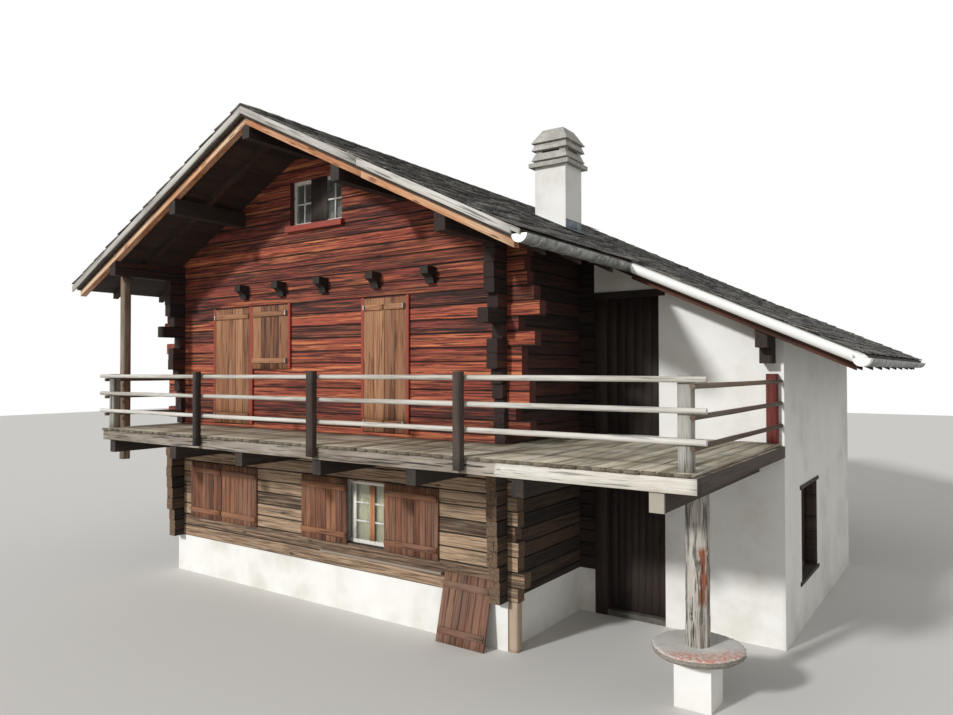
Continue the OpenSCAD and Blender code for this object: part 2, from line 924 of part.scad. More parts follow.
module shutters() {
    lap = 20;
    color("sienna") {
        for (w = ground_leaves)
            leaf(w[0], ground_sill - lap, w[1], sash_h + 2 * lap);
        leaf(upper_left_door[0], upper_left_door[2], upper_left_door[1], upper_left_door[3]);
        leaf(upper_left_window[0], upper_left_window[2], upper_left_window[1], upper_left_window[3]);
        for (i = [0, 1])
            leaf(upper_right_door[0] + i * (upper_right_door[1] / 2 + 3), upper_right_door[2],
                 upper_right_door[1] / 2 - 3, upper_right_door[3]);
    }
}

// Upright casings beside the upper shutters, the attic window's sill and the drip board of the ground storey
module casings_and_sills() {
    casing = 50;
    post = upper_left_window[0] - upper_left_door[0] - upper_left_door[1];
    color("firebrick") {
        for (x = [upper_right_door[0] - casing, upper_right_door[0] + upper_right_door[1]])
            translate([x, -shutter_t, upper_right_door[2]])
                cube([casing, shutter_t, upper_right_door[3] + 20]);
        translate([upper_left_door[0] - casing, -shutter_t, upper_left_door[2]])
            cube([casing, shutter_t, upper_left_door[3] + 20]);
        translate([upper_left_window[0] - post, -shutter_t, upper_left_door[2]])
            cube([post, shutter_t, upper_left_door[3] + 20]);
        translate([upper_left_window[0] + upper_left_window[1], -shutter_t, upper_left_window[2]])
            cube([casing, shutter_t, upper_left_window[3] + 20]);
        translate([attic_window[0] - casing, -70, attic_window[2] - 90])
            cube([attic_window[1] + 2 * casing, 70, 90]);
        translate([drip_board[0], -60, plinth_h + course_h])
            cube([drip_board[1], 60, 34]);
    }
}

module upper_door() {
    color("saddlebrown")
        translate([door_x, annex_y + 70, deck_z])
            cube([upper_door_w, 45, upper_door_h]);
}

// Deck boarding before the front wall and in the corner before the annex
module deck_boards() {
    color("tan") {
        translate([deck_left, -deck_d, deck_under])
            cube([annex_w - deck_left, deck_d, board_t]);
        translate([0, 0, deck_under])
            cube([annex_w, annex_y, board_t]);
    }
}

// Joists along X with the board that closes them on the right
module deck_joists() {
    side_x = annex_w - deck_side_t;
    color("tan") {
        for (y = [-deck_d, -deck_d / 2 - deck_joist_w / 2, -deck_joist_w])
            translate([deck_left, y, beam_top])
                cube([annex_w - deck_left, deck_joist_w, deck_joist_h]);
        for (y = [annex_y / 3, 2 * annex_y / 3, annex_y - deck_joist_w])
            translate([0, y, beam_top])
                cube([annex_w, deck_joist_w, deck_joist_h]);
        translate([side_x, -deck_d, beam_top])
            cube([deck_side_t, deck_d + annex_y, deck_joist_h]);
    }
}

// Beams along Y: through the front wall, and two from the deck's front to the annex
module deck_beams() {
    tip = 30;
    color("saddlebrown") {
        for (x = [-block_w + 300, -block_w * 0.72, -block_w / 2, -block_w * 0.28, -block_w * 0.06])
            translate([x - beam_w / 2, -deck_d + tip, beam_low])
                cube([beam_w, deck_d - tip + log_t, beam_h]);
        for (x = [beam_x, annex_w * 0.35])
            translate([x - beam_w / 2, -deck_d + tip, beam_low])
                cube([beam_w, deck_d - tip + annex_y, beam_h]);
    }
}

post_at = [-4390, -1995, 315];
rail_levels = [rail_z, rail_z * 2 / 3, rail_z / 3];
rail_y = -deck_d + rail_d / 2;
corner_x = annex_w - 130;
corner_left = deck_left + 60;

// Posts before the deck's edge, and the thicker ones at its corners and on the annex
module railing_posts() {
    head = 75;
    corner_head = 35;
    foot = 110;
    color("dimgrey") {
        for (x = post_at)
            translate([x - rail_post / 2, -deck_d - rail_post, deck_under - foot])
                cube([rail_post, rail_post, board_t + foot + rail_z + head]);
        for (p = [[corner_x - corner_post / 2, -deck_d + rail_d], [corner_left, -deck_d + rail_d],
                  [corner_x - corner_post / 2, annex_y - corner_post]])
            translate([p[0], p[1], deck_z])
                cube([corner_post, corner_post, rail_z + corner_head]);
    }
}

// Reach of the side walls' log ends at a height, over a rail's thickness
function reach_by(z) = max([for (s = [-1, 1]) side_reach(floor((z + s * rail_d / 2 - plinth_h) / course_h - 0.5))]);

module rails() {
    tip_left = 60;
    tip_right = 90;
    color("lightgrey")
        for (z = rail_levels) {
            translate([-block_w - tip_left, rail_y, deck_z + z])
                rotate([0, 90, 0])
                    cylinder(d = rail_d, h = annex_w + block_w + tip_left + tip_right);
            translate([corner_x + corner_post / 2 + rail_d / 2, annex_y - 20, deck_z + z - rail_d])
                rotate([90, 0, 0])
                    cylinder(d = rail_d, h = annex_y - 20 + deck_d);
            reach = reach_by(deck_z + z - rail_d);
            translate([corner_left - rail_d / 2, -reach, deck_z + z - rail_d])
                rotate([90, 0, 0])
                    cylinder(d = rail_d, h = deck_d - reach);
        }
}

// Round post on the stone disc, post hung from the left wall plate and prop under the right log ends
module support_posts() {
    plate_low = roof_z(-log_t / 2) - under_t - purlin_h;
    color("grey") {
        translate([post_x, post_y, disc_top])
            cylinder(d = post_d, h = beam_low - disc_top);
        translate([deck_left - prop, hanging_y, deck_z - 560])
            cube([prop, prop, plate_low - deck_z + 560]);
        translate([5, 10, 0])
            cube([prop, prop, plinth_h]);
    }
}

module mushroom_stone() {
    edge = 25;
    color("rosybrown")
        translate([post_x, post_y, pier_h])
            rotate_extrude()
                polygon([[0, 0], [disc_d / 2 - edge, 0], [disc_d / 2, edge], [disc_d / 2, disc_t - edge],
                         [disc_d / 2 - edge, disc_t], [0, disc_t]]);
}

module pier() {
    color("white")
        translate([post_x - pier_w / 2, post_y - pier_w / 2, 0])
            cube([pier_w, pier_w, pier_h]);
}

// Ledged plank hatch leaning on the front wall
module plank_hatch() {
    hatch_w = 770;
    hatch_h = 900;
    hatch_t = 30;
    ledge_t = 22;
    lean = 14;
    color("sienna")
        translate([-985, -hatch_h * sin(lean) - hatch_t * cos(lean), hatch_t * sin(lean)])
            rotate([-lean, 0, 0]) {
                cube([hatch_w, hatch_t, hatch_h]);
                for (z = [110, hatch_h - 200])
                    translate([20, -ledge_t, z])
                        cube([hatch_w - 40, ledge_t, 90]);
            }
}

// Hanging leaf with its strap eyes, turning inwards on the pintles at its left edge
module ground_door() {
    eye_r = 14;
    pin_gap = 0.5;
    color("saddlebrown") {
        translate([door_x + leaf_gap, leaf_y, slab_low + leaf_gap])
            cube([door_w - 2 * leaf_gap, leaf_t, door_h - 2 * leaf_gap]);
        for (z = pintle_z)
            difference() {
                union() {
                    translate([hinge_x, hinge_y, z])
                        cylinder(r = eye_r, h = eye_h);
                    translate([hinge_x, leaf_y + leaf_t, z])
                        cube([door_w * 0.7, 6, eye_h]);
                }
                translate([hinge_x, hinge_y, z - 1])
                    cylinder(r = pin_r + pin_gap, h = eye_h + 2);
            }
        translate([door_x + door_w - 130, leaf_y - 30, slab_low + 1015])
            cube([24, 30, 130]);
    }
}

pin_r = 7;
eye_h = 50;
pintle_z = [slab_low + 250, slab_low + door_h - 350];

// Pintles let into the door post: an arm with a round boss under each strap eye and the pin through it
module ground_door_pintles() {
    arm = 24;
    arm_w = 14;
    boss_r = 8.5;
    color("black")
        for (z = pintle_z) {
            translate([door_x, hinge_y - arm_w / 2, z - arm - 1])
                cube([hinge_x - door_x, arm_w, arm]);
            translate([hinge_x, hinge_y, z - arm - 1])
                cylinder(r = boss_r, h = arm);
            translate([hinge_x, hinge_y, z - arm])
                cylinder(r = pin_r, h = arm + eye_h);
        }
}

ground_floor();
plinth_front_back();
plinth_sides();
ground_front_wall();
ground_back_wall();
ground_side_walls();
upper_front_wall();
upper_back_wall();
upper_side_walls();
upper_floor();
attic_joists();
attic_floor();
purlins();
rafters();
fly_rafters();
roof_left_slope();
roof_right_slope();
annex_roof();
verge_boards();
gutters();
chimney_stack();
chimney_flashing();
chimney_cap();
annex_front_left();
annex_front_over_door();
annex_front_right();
annex_right_wall();
annex_back_wall();
annex_timbers();
window_frames();
window_glass();
shutters();
casings_and_sills();
upper_door();
deck_boards();
deck_joists();
deck_beams();
railing_posts();
rails();
support_posts();
mushroom_stone();
pier();
plank_hatch();
ground_door();
ground_door_pintles();
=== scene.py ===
"""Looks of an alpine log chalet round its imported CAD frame.

Every piece is a surface worked out with numpy: a small outline carried along a straight or curved
path, held as an array of rings (copies, stations, outline points, 3), in metres and in the CAD's frame.
"""
import logging
import math
from dataclasses import dataclass, field
from enum import Enum
from typing import Any, Sequence

import bmesh
import bpy
import numpy as np
from mathutils import Euler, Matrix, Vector


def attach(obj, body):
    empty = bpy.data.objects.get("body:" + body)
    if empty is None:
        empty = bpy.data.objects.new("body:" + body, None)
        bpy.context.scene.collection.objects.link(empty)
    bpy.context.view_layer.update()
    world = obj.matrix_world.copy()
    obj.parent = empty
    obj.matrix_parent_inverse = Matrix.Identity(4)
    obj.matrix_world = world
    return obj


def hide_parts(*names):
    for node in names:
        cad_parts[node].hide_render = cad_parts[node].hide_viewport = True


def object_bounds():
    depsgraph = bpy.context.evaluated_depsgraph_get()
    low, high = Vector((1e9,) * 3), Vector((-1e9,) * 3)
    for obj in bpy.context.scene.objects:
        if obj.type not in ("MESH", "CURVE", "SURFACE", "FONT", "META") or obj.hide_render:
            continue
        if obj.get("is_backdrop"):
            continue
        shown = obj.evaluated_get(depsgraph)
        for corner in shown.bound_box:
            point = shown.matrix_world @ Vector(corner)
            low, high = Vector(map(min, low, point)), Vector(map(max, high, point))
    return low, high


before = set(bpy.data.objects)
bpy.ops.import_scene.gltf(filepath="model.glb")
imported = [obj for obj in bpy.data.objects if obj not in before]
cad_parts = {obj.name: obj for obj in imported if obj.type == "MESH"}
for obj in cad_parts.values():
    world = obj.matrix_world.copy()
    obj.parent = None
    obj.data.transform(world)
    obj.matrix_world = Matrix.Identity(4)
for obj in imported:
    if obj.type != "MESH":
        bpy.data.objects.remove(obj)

CAD_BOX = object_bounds()
LOG = logging.getLogger("chalet")
Array = np.ndarray
Socket = bpy.types.NodeSocket
Material = bpy.types.Material
X, Y, Z = np.eye(3)
EVEN = (1.0, 1.0, 1.0)

# Foot of the lowest front and side logs, and the fall of the main slopes per metre, as in the CAD; and
# the width of a colour's edge, in metres.
FRONT_COURSE, SIDE_COURSE = 0.634, 0.73
ROOF_PITCH = 0.48758
HAIR = 0.0001


class Grain(Enum):
    """Which way wood grain runs on a piece: along an axis, or along the piece's own attribute."""

    ALONG_X = "xyz"
    ALONG_Y = "yxz"
    ALONG_Z = "zxy"
    OWN = "own"


class Body(Enum):
    """The CAD bodies that pieces ride on."""

    HOUSE = "house"
    DOOR = "door_leaf"


# Shading


def linear(code: str) -> tuple[float, float, float, float]:
    """Turns an sRGB hex colour into the linear values that a shader takes.

    Args:
        code: six hex digits after a hash sign.

    Returns:
        Linear red, green and blue, with alpha 1.
    """
    srgb = [int(code[i:i + 2], 16) / 255 for i in (1, 3, 5)]
    red, green, blue = (c / 12.92 if c <= 0.04045 else ((c + 0.055) / 1.055) ** 2.4 for c in srgb)
    return red, green, blue, 1.0


def add(tree: bpy.types.NodeTree, kind: str, inputs: Any = (), out: int | str = 0,
        stops: Sequence[tuple[float, str]] = (), **settings: Any) -> Socket:
    """Adds one node with its settings and links.

    Args:
        tree: the node tree to add to.
        kind: the node's type name without its ShaderNode prefix.
        inputs: what the inputs get, in their order or by name or number: a value, an sRGB hex colour,
            an output socket to link, or None to leave one alone.
        out: number or name of the output that is given back.
        stops: places on a colour ramp with their hex colours.
        settings: properties of the node.

    Returns:
        One of the node's outputs.
    """
    node = tree.nodes.new("ShaderNode" + kind)
    for key, value in settings.items():
        setattr(node, key, value)
    for key, value in inputs.items() if isinstance(inputs, dict) else enumerate(inputs):
        if isinstance(value, Socket):
            tree.links.new(value, node.inputs[key])
        elif value is not None:
            node.inputs[key].default_value = linear(value) if isinstance(value, str) else value
    elements = node.color_ramp.elements if stops else ()
    while len(elements) < len(stops):
        elements.new(0.5)
    for element, (place, code) in zip(elements, stops):
        element.position, element.color = place, linear(code)
    return node.outputs[out]


@dataclass
class Shading:
    """A material in the making, with one Principled shader."""

    material: Material

    @classmethod
    def new(cls, name: str, roughness: float, metallic: float = 0.0) -> "Shading":
        """Starts a material.

        Args:
            name: the material's name.
            roughness: the shader's roughness.
            metallic: 1 for bare metal.

        Returns:
            Its shading.
        """
        material = bpy.data.materials.new(name)
        material.use_nodes = True
        look = cls(material)
        look.feed(Roughness=roughness, Metallic=metallic)
        return look

    def __post_init__(self) -> None:
        """Finds the tree and the shader, and reads Object coordinates."""
        self.tree = self.material.node_tree
        self.shader = next(n for n in self.tree.nodes if n.type == "BSDF_PRINCIPLED")
        self.point = self.add("TexCoord", out="Object")

    def add(self, *details: Any, **settings: Any) -> Socket:
        """Adds one node to this tree, as add does."""
        return add(self.tree, *details, **settings)

    def feed(self, **inputs: Any) -> None:
        """Gives the shader's inputs a value or a link each.

        Args:
            inputs: a value or socket for each name, where a low line stands for a space.
        """
        for key, value in inputs.items():
            socket = self.shader.inputs[key.replace("_", " ")]
            if isinstance(value, Socket):
                self.tree.links.new(value, socket)
            else:
                socket.default_value = value

    def colour(self) -> Socket:
        """Gives the socket that the base colour comes from."""
        return self.shader.inputs["Base Color"].links[0].from_socket

    def axes(self, point: Socket) -> list[Socket]:
        """Gives the three parts of a point."""
        return list(self.add("SeparateXYZ", (point,)).node.outputs)

    def along(self, grain: Grain) -> Socket:
        """Gives the point in metres with the grain's direction first.

        Args:
            grain: which way the grain runs.

        Returns:
            A vector whose first part runs along the grain.
        """
        if grain is Grain.OWN:
            return self.add("Attribute", out="Vector", attribute_name="grain")
        if grain is Grain.ALONG_X:
            return self.point
        order = dict(zip("xyz", self.axes(self.point)))
        return self.add("CombineXYZ", [order[letter] for letter in grain.value])

    def total(self, *terms: tuple[Any, float]) -> Socket:
        """Adds up weighted values.

        Args:
            terms: a value and its weight each.

        Returns:
            The sum.
        """
        result: Any = 0.0
        for value, weight in terms:
            result = self.add("Math", (value, weight, result), operation="MULTIPLY_ADD")
        return result

    def product(self, *factors: Any) -> Any:
        """Multiplies values.

        Args:
            factors: numbers or sockets, or one of them alone.

        Returns:
            The product.
        """
        result = factors[0]
        for factor in factors[1:]:
            result = self.add("Math", (result, factor), operation="MULTIPLY")
        return result

    def within(self, *ranges: tuple[Any, float, float]) -> Socket:
        """Says how far a place lies within all ranges.

        Args:
            ranges: a value, where its share is 0 and where it is 1.

        Returns:
            The product of all shares.
        """
        return self.product(*(self.add("MapRange", (value, none, full)) for value, none, full in ranges))

    def noises(self, point: Socket, shift: Socket | None, *rows: tuple[Any, ...]) -> list[Socket]:
        """Gives fractal noise from 0 to 1 for each row, at point times stretch plus shift.

        Args:
            point: the point in metres.
            shift: what is added to the point, or None.
            rows: stretch along three axes, scale, detail, roughness and, if it has one, distortion.

        Returns:
            One socket a row.
        """
        found = []
        for stretch, *numbers in rows:
            place = self.add("VectorMath", (point, stretch, shift), operation="MULTIPLY_ADD")
            named = dict(zip(("Scale", "Detail", "Roughness", "Distortion"), numbers))
            found.append(self.add("TexNoise", {"Vector": place, **named}))
        return found

    def coats(self, base: Any, *rows: tuple[Any, ...]) -> tuple[Socket, list[Socket]]:
        """Lays colours over a base, one after the other.

        Args:
            base: the colour below, a socket or hex digits.
            rows: a signal, where its coat ends and where it is full, the coat's share, its colour and,
                if it isn't MIX, how it is blended in.

        Returns:
            The colour on top, and how much of each coat shows.
        """
        shares = []
        for signal, none, full, share, colour, *mode in rows:
            shares.append(self.product(self.within((signal, none, full)), share))
            base = self.add("Mix", {0: shares[-1], 6: base, 7: colour}, 2, data_type="RGBA",
                            blend_type=mode[0] if mode else "MIX")
        return base, shares

    def finish(self, colour: Any, height: Socket, strength: float, depth: float) -> Material:
        """Links the base colour and a bump.

        Args:
            colour: the base colour, a socket or linear values.
            height: the bump's height.
            strength: the bump's strength.
            depth: the bump's depth in metres.

        Returns:
            The finished material.
        """
        bump = self.add("Bump", {"Strength": strength, "Distance": depth, "Height": height})
        self.feed(Base_Color=colour, Normal=bump)
        return self.material


def part_coloured(material: Material, planes: Sequence[tuple[int, float, bool]], colour: str,
                  mode: str = "MIX", share: float = 1.0) -> Material:
    """Gives the part of a material that lies on one side of every plane a colour of its own.

    Args:
        material: a finished material whose base colour is linked.
        planes: for each plane its axis from 0 to 2, its place in metres, and True for the side with
            larger values.
        colour: the colour as sRGB hex digits.
        mode: how it is blended in, such as MIX for paint or MULTIPLY to darken.
        share: how much of it is blended in.

    Returns:
        The same material.
    """
    look = Shading(material)
    parts = look.axes(look.point)
    inside = look.within(*((parts[axis], edge, edge + (HAIR if beyond else -HAIR))
                              for axis, edge, beyond in planes))
    look.feed(Base_Color=look.coats(look.colour(), (inside, 0.0, 1.0, share, colour, mode))[0])
    return material


# Finishes


@dataclass(frozen=True)
class Timber:
    """Larch or spruce left to the weather: streaks along the grain, dark checks, grey bloom.

    It is sawn or hewn. The streaks are 20 to 40 mm wide, coarser than real growth rings, so that they show
    from the terrace.
    """

    name: str
    dark: str
    mid: str
    light: str
    bloom: str
    bloom_share: float = 0.35
    grain: Grain = Grain.OWN
    roughness: float = 0.78
    board: float = 0.0
    check: float = 0.7
    knots: float = 0.0

    def tone(self, look: Shading, point: Socket) -> Socket:
        """Gives each board its own shade: the piece's tone attribute, or one step a board width.

        Args:
            look: the material in the making.
            point: the point with the grain first.

        Returns:
            A shade from 0 to 1.
        """
        if self.grain is Grain.OWN or not self.board:
            return look.add("Attribute", out="Fac", attribute_name="tone")
        across = look.product(look.axes(point)[1], 1 / self.board)
        index = look.add("Math", (across,), operation="FLOOR")
        return look.add("TexWhiteNoise", {"W": index}, noise_dimensions="1D")

    def build(self) -> Material:
        """Builds the material.

        Returns:
            The finished material.
        """
        look = Shading.new(self.name, self.roughness)
        point = look.along(self.grain)
        tone = self.tone(look, point)
        shift = look.product(tone, 37.0)
        fibre, fine, patch, crack = look.noises(
            point, shift, ((1.3, 26.0, 26.0), 1.0, 7.0, 0.66, 0.35), ((5.0, 170.0, 170.0), 1.0, 3.0, 0.6),
            ((0.7, 3.2, 3.2), 1.0, 3.0, 0.5), ((1.1, 34.0, 34.0), 1.6, 2.0, 0.4))
        wood = look.add("ValToRGB", (look.total((fibre, 0.72), (tone, 0.28)),),
                           stops=((0.30, self.dark), (0.50, self.mid), (0.68, self.light)))
        speckle = look.add("ValToRGB", (fine,), stops=((0.3, "#6E6E6E"), (0.7, "#FFFFFF")))
        coats = [(patch, 0.42, 0.66, self.bloom_share * 2, self.bloom)]
        if self.knots:
            place = look.add("VectorMath", (point, (2.6, 17.0, 17.0), shift), operation="MULTIPLY_ADD")
            cells = look.add("TexVoronoi", {"Vector": place, "Scale": 1.0}, feature="F1")
            coats.append((cells, 0.26, 0.14, self.knots, "#7A3F24"))
        coats.append((crack, 0.60, 0.66, self.check, "#140D0A"))
        wood, shares = look.coats(wood, *coats, (1.0, 0.0, 1.0, 0.35, speckle, "MULTIPLY"))
        return look.finish(wood, look.total((fibre, 1.0), (fine, 0.4), (shares[-2], -1.0)), 0.6, 0.006)


@dataclass(frozen=True)
class SilveredTrunk(Timber):
    """A barked trunk gone silver, with one strip of bare red heartwood on its right side."""

    heart: str = "#CB8468"
    heart_at: tuple[float, float, float] = (2.5, 1.05, 1.72)

    def build(self) -> Material:
        """Builds the wood, then lays the heartwood over it right of one x and between two heights.

        Returns:
            The finished material.
        """
        look = Shading(super().build())
        x, y, z = look.axes(look.point)
        ragged, groove = look.noises(look.point, None, ((30.0, 30.0, 5.0), 1.0, 3.0, 0.55),
                                        ((34.0, 34.0, 2.4), 1.0, 4.0, 0.55, 1.1))
        x = look.total((x, 1.0), (ragged, 0.14), (-0.5, 0.14))
        left, low, high = self.heart_at
        inside = look.within((x, left, left + 0.012), (x, left + 0.075, left + 0.06), (z, low, low + 0.08),
                                (z, high, high - 0.06), (y, -0.09, -0.1))
        bare, _ = look.coats(look.colour(), (inside, 0.0, 1.0, 1.0, self.heart, "MULTIPLY"),
                                (groove, 0.54, 0.62, 0.75, "#2B241E"))
        return look.finish(bare, look.within((groove, 0.62, 0.54)), 0.9, 0.012)


@dataclass(frozen=True)
class SquaredLogs:
    """Larch logs hewn square and stacked, each course with a shade of its own.

    Sun burns the outer face red-brown to black with orange where it wears; shade leaves it grey.
    Course joints gather dirt; ends show growth rings and drying checks; side-wall copies add painted shade.
    """

    name: str
    dark: str
    mid: str
    light: str
    worn: str
    bloom: str
    grain: Grain
    first: float
    end: str = "#3E2418"
    worn_from: float = 0.50
    worn_share: float = 0.8
    crack_share: float = 0.88
    course: float = 0.192
    wall: float = 0.16

    def end_grain(self, look: Shading, local: Socket, point: Socket) -> Socket:
        """Colours a log's end: rings round its heart and dark checks.

        Args:
            look: the material in the making.
            local: height within the course, from -0.5 to 0.5.
            point: the point with the grain first.

        Returns:
            The end's colour.
        """
        side = look.product(look.axes(point)[1], 1 / self.wall)
        side = look.total((look.add("Math", (side,), operation="FRACT"), 1.0), (-0.5, 1.0))
        reach = look.add("Math", (look.total((look.product(side, side), 1.0),
                                                   (look.product(local, local), 1.0)),), operation="SQRT")
        wander, = look.noises(point, None, (EVEN, 14.0, 3.0, 0.55))
        rings = look.add("Math", (look.total((reach, 58.0), (wander, 58.0 * 0.22)),), operation="SINE")
        rings = look.within((rings, -1.0, 1.0))
        wood = look.add("ValToRGB", (rings,), stops=((0.0, self.dark), (0.5, self.end), (1.0, self.mid)))
        checks = look.add("TexVoronoi", {"Vector": point, "Scale": 13.0}, feature="DISTANCE_TO_EDGE")
        return look.coats(wood, (checks, 0.045, 0.0, 1.0, "#120C09"))[0]

    def build(self) -> Material:
        """Builds the material.

        Returns:
            The finished material.
        """
        look = Shading.new(self.name, 0.8)
        point = look.along(self.grain)
        row = look.total((look.axes(point)[2], 1 / self.course), (-self.first, 1 / self.course))
        index = look.add("Math", (row,), operation="FLOOR")
        local = look.total((look.add("Math", (row,), operation="FRACT"), 1.0), (-0.5, 1.0))
        tone = look.add("TexWhiteNoise", {"W": index}, noise_dimensions="1D")
        shift = look.product(tone, 53.0)
        fibre, fine, broad, streak, crack = look.noises(
            point, shift, ((1.1, 30.0, 30.0), 1.0, 8.0, 0.7, 0.5), ((4.5, 130.0, 130.0), 1.0, 4.0, 0.65),
            ((0.6, 6.0, 6.0), 1.0, 4.0, 0.6, 0.6), ((0.8, 38.0, 38.0), 0.8, 5.0, 0.62, 0.3),
            ((0.9, 52.0, 52.0), 1.3, 4.0, 0.55, 0.25))
        wood = look.add("ValToRGB", (look.total((fibre, 0.8), (tone, 0.2)),),
                           stops=((0.37, self.dark), (0.48, self.mid), (0.59, self.light)))
        speckle = look.add("ValToRGB", (fine,), stops=((0.32, "#565656"), (0.68, "#FFFFFF")))
        by_course = look.add("MapRange", (tone, 0.2, 0.9, 0.35, 1.0))
        by_patch = look.add("MapRange", (broad, 0.38, 0.58, 0.3, 1.0))
        worn = look.product(by_course, by_patch, self.worn_share)
        place = look.add("VectorMath", (point, (1.7, 5.2, 5.2), shift), operation="MULTIPLY_ADD")
        cells = look.add("TexVoronoi", {"Vector": place, "Scale": 1.0}, feature="F1")
        edge = look.add("Math", (local,), operation="ABSOLUTE")
        normal = look.add("TexCoord", out="Normal")
        end_axis = 0 if self.grain is Grain.ALONG_X else 1
        facing = look.add("Math", (look.axes(normal)[end_axis],), operation="ABSOLUTE")
        wood, shares = look.coats(
            wood, (broad, 0.46, 0.30, 0.6, self.bloom),
            (streak, self.worn_from, self.worn_from + 0.09, worn, self.worn),
            (cells, 0.12, 0.06, 0.75, "#1D0F0A"), (crack, 0.555, 0.60, self.crack_share, "#120A08"),
            (edge, 0.425, 0.48, 0.9, "#0B0706"), (1.0, 0.0, 1.0, 0.4, speckle, "MULTIPLY"),
            (facing, 0.8, 0.8 + HAIR, 1.0, self.end_grain(look, local, point)))
        check, joint = shares[3], shares[4]
        depth = look.total((fibre, 1.0), (fine, 0.35), (check, -1 / self.crack_share), (joint, -0.8 / 0.9))
        return look.finish(wood, depth, 0.75, 0.010)


@dataclass(frozen=True)
class LimeRender:
    """Lime render, floated and whitewashed: faint trowel waves, fine sand, splash dirt at the foot."""

    name: str
    white: str = "#E9E8E3"
    dirt: str = "#A89E8A"
    splash: float = 0.3

    def build(self) -> Material:
        """Builds the material with a sand grain of about 8 mm and trowel waves of about 0.4 m.

        Returns:
            The finished material.
        """
        look = Shading.new(self.name, 0.9)
        wave, sand, cloud = look.noises(look.point, None, (EVEN, 2.4, 4.0, 0.55), (EVEN, 120.0, 2.0, 0.7),
                                           (EVEN, 1.1, 5.0, 0.6))
        wash = look.add("ValToRGB", (cloud,),
                        stops=((0.30, "#D6D3CA"), (0.50, self.white), (0.75, "#F1F0EC")))
        low = look.within((look.axes(look.point)[2], self.splash, 0.0))
        wash, _ = look.coats(wash, (wave, 0.35, 0.7, look.product(low, 0.28), self.dirt))
        return look.finish(wash, look.total((wave, 1.0), (sand, 0.22)), 0.5, 0.012)


@dataclass(frozen=True)
class SplitStone:
    """Split or rough stone: grey mass with speckle, veins and lichen."""

    name: str
    low: str
    mid: str
    high: str
    lichen: str
    lichen_share: float = 0.25
    grit: float = 60.0
    depth: float = 0.006
    roughness: float = 0.85
    tone_share: float = 0.4

    def build(self) -> Material:
        """Builds the material: clouds of 0.2 m, grit of about 15 mm, and lichen in patches of 50 mm.

        Returns:
            The finished material.
        """
        look = Shading.new(self.name, self.roughness)
        tone = look.add("Attribute", out="Fac", attribute_name="tone")
        cloud, grit, spots = look.noises(look.point, None, (EVEN, 5.0, 6.0, 0.6, 0.4),
                                            (EVEN, self.grit, 3.0, 0.7), (EVEN, 17.0, 5.0, 0.65))
        mixed = look.total((cloud, 1 - self.tone_share), (tone, self.tone_share))
        stone = look.add("ValToRGB", (mixed,), stops=((0.25, self.low), (0.48, self.mid), (0.72, self.high)))
        speckle = look.add("ValToRGB", (grit,), stops=((0.35, "#5A5A5A"), (0.65, "#FFFFFF")))
        edge = 0.74 - self.lichen_share * 0.5
        stone, _ = look.coats(stone, (1.0, 0.0, 1.0, 0.45, speckle, "MULTIPLY"),
                                 (spots, edge, edge + 0.05, 0.8, self.lichen))
        return look.finish(stone, look.total((cloud, 1.0), (grit, 0.3)), 0.6, self.depth)


@dataclass(frozen=True)
class LichenedGneiss(SplitStone):
    """A pale gneiss slab with one broad crust of orange-pink lichen along the front of its rim."""

    crust: str = "#C9795E"
    middle: tuple[float, float, float] = (2.48, -0.09, 0.59)

    def build(self) -> Material:
        """Builds the stone, then the crust: it lies between 0.22 and 0.5 m from the middle, to the front.

        Returns:
            The finished material.
        """
        look = Shading(super().build())
        moved = look.add("VectorMath", (look.point, self.middle), operation="SUBTRACT")
        flat = look.add("VectorMath", (moved, (1.0, 1.0, 0.0)), operation="MULTIPLY")
        reach = look.add("VectorMath", (flat,), "Value", operation="LENGTH")
        front = look.add("VectorMath", (moved, (0.55, -0.83, 0.0)), "Value", operation="DOT_PRODUCT")
        torn, = look.noises(look.point, None, (EVEN, 22.0, 6.0, 0.75))
        level = look.axes(moved)[2]
        rim = look.within((level, 0.034, 0.022))
        share = look.within((reach, 0.18, 0.34), (front, 0.1, 0.3), (torn, 0.42, 0.56), (level, 0.022, 0.034))
        stone, _ = look.coats(look.colour(), (rim, 0.0, 1.0, 0.8, "#8A8175", "MULTIPLY"),
                                 (share, 0.0, 1.0, 0.85, self.crust))
        look.feed(Base_Color=stone)
        return look.material


@dataclass(frozen=True)
class SheetMetal:
    """Rolled zinc, lead or wrought iron: dull metal with a patchy patina."""

    name: str
    bright: str
    dull: str
    roughness: float = 0.42
    metallic: float = 0.85

    def build(self) -> Material:
        """Builds the material with patina clouds of about 0.15 m that also roughen the metal.

        Returns:
            The finished material.
        """
        look = Shading.new(self.name, self.roughness, self.metallic)
        cloud, dent = look.noises(look.point, None, (EVEN, 7.0, 6.0, 0.62, 0.3), (EVEN, 45.0, 3.0, 0.55))
        look.feed(Roughness=look.add("MapRange", (cloud, 0.3, 0.7, self.roughness + 0.18, self.roughness)))
        colour = look.add("ValToRGB", (cloud,), stops=((0.35, self.dull), (0.62, self.bright)))
        return look.finish(colour, dent, 0.15, 0.003)


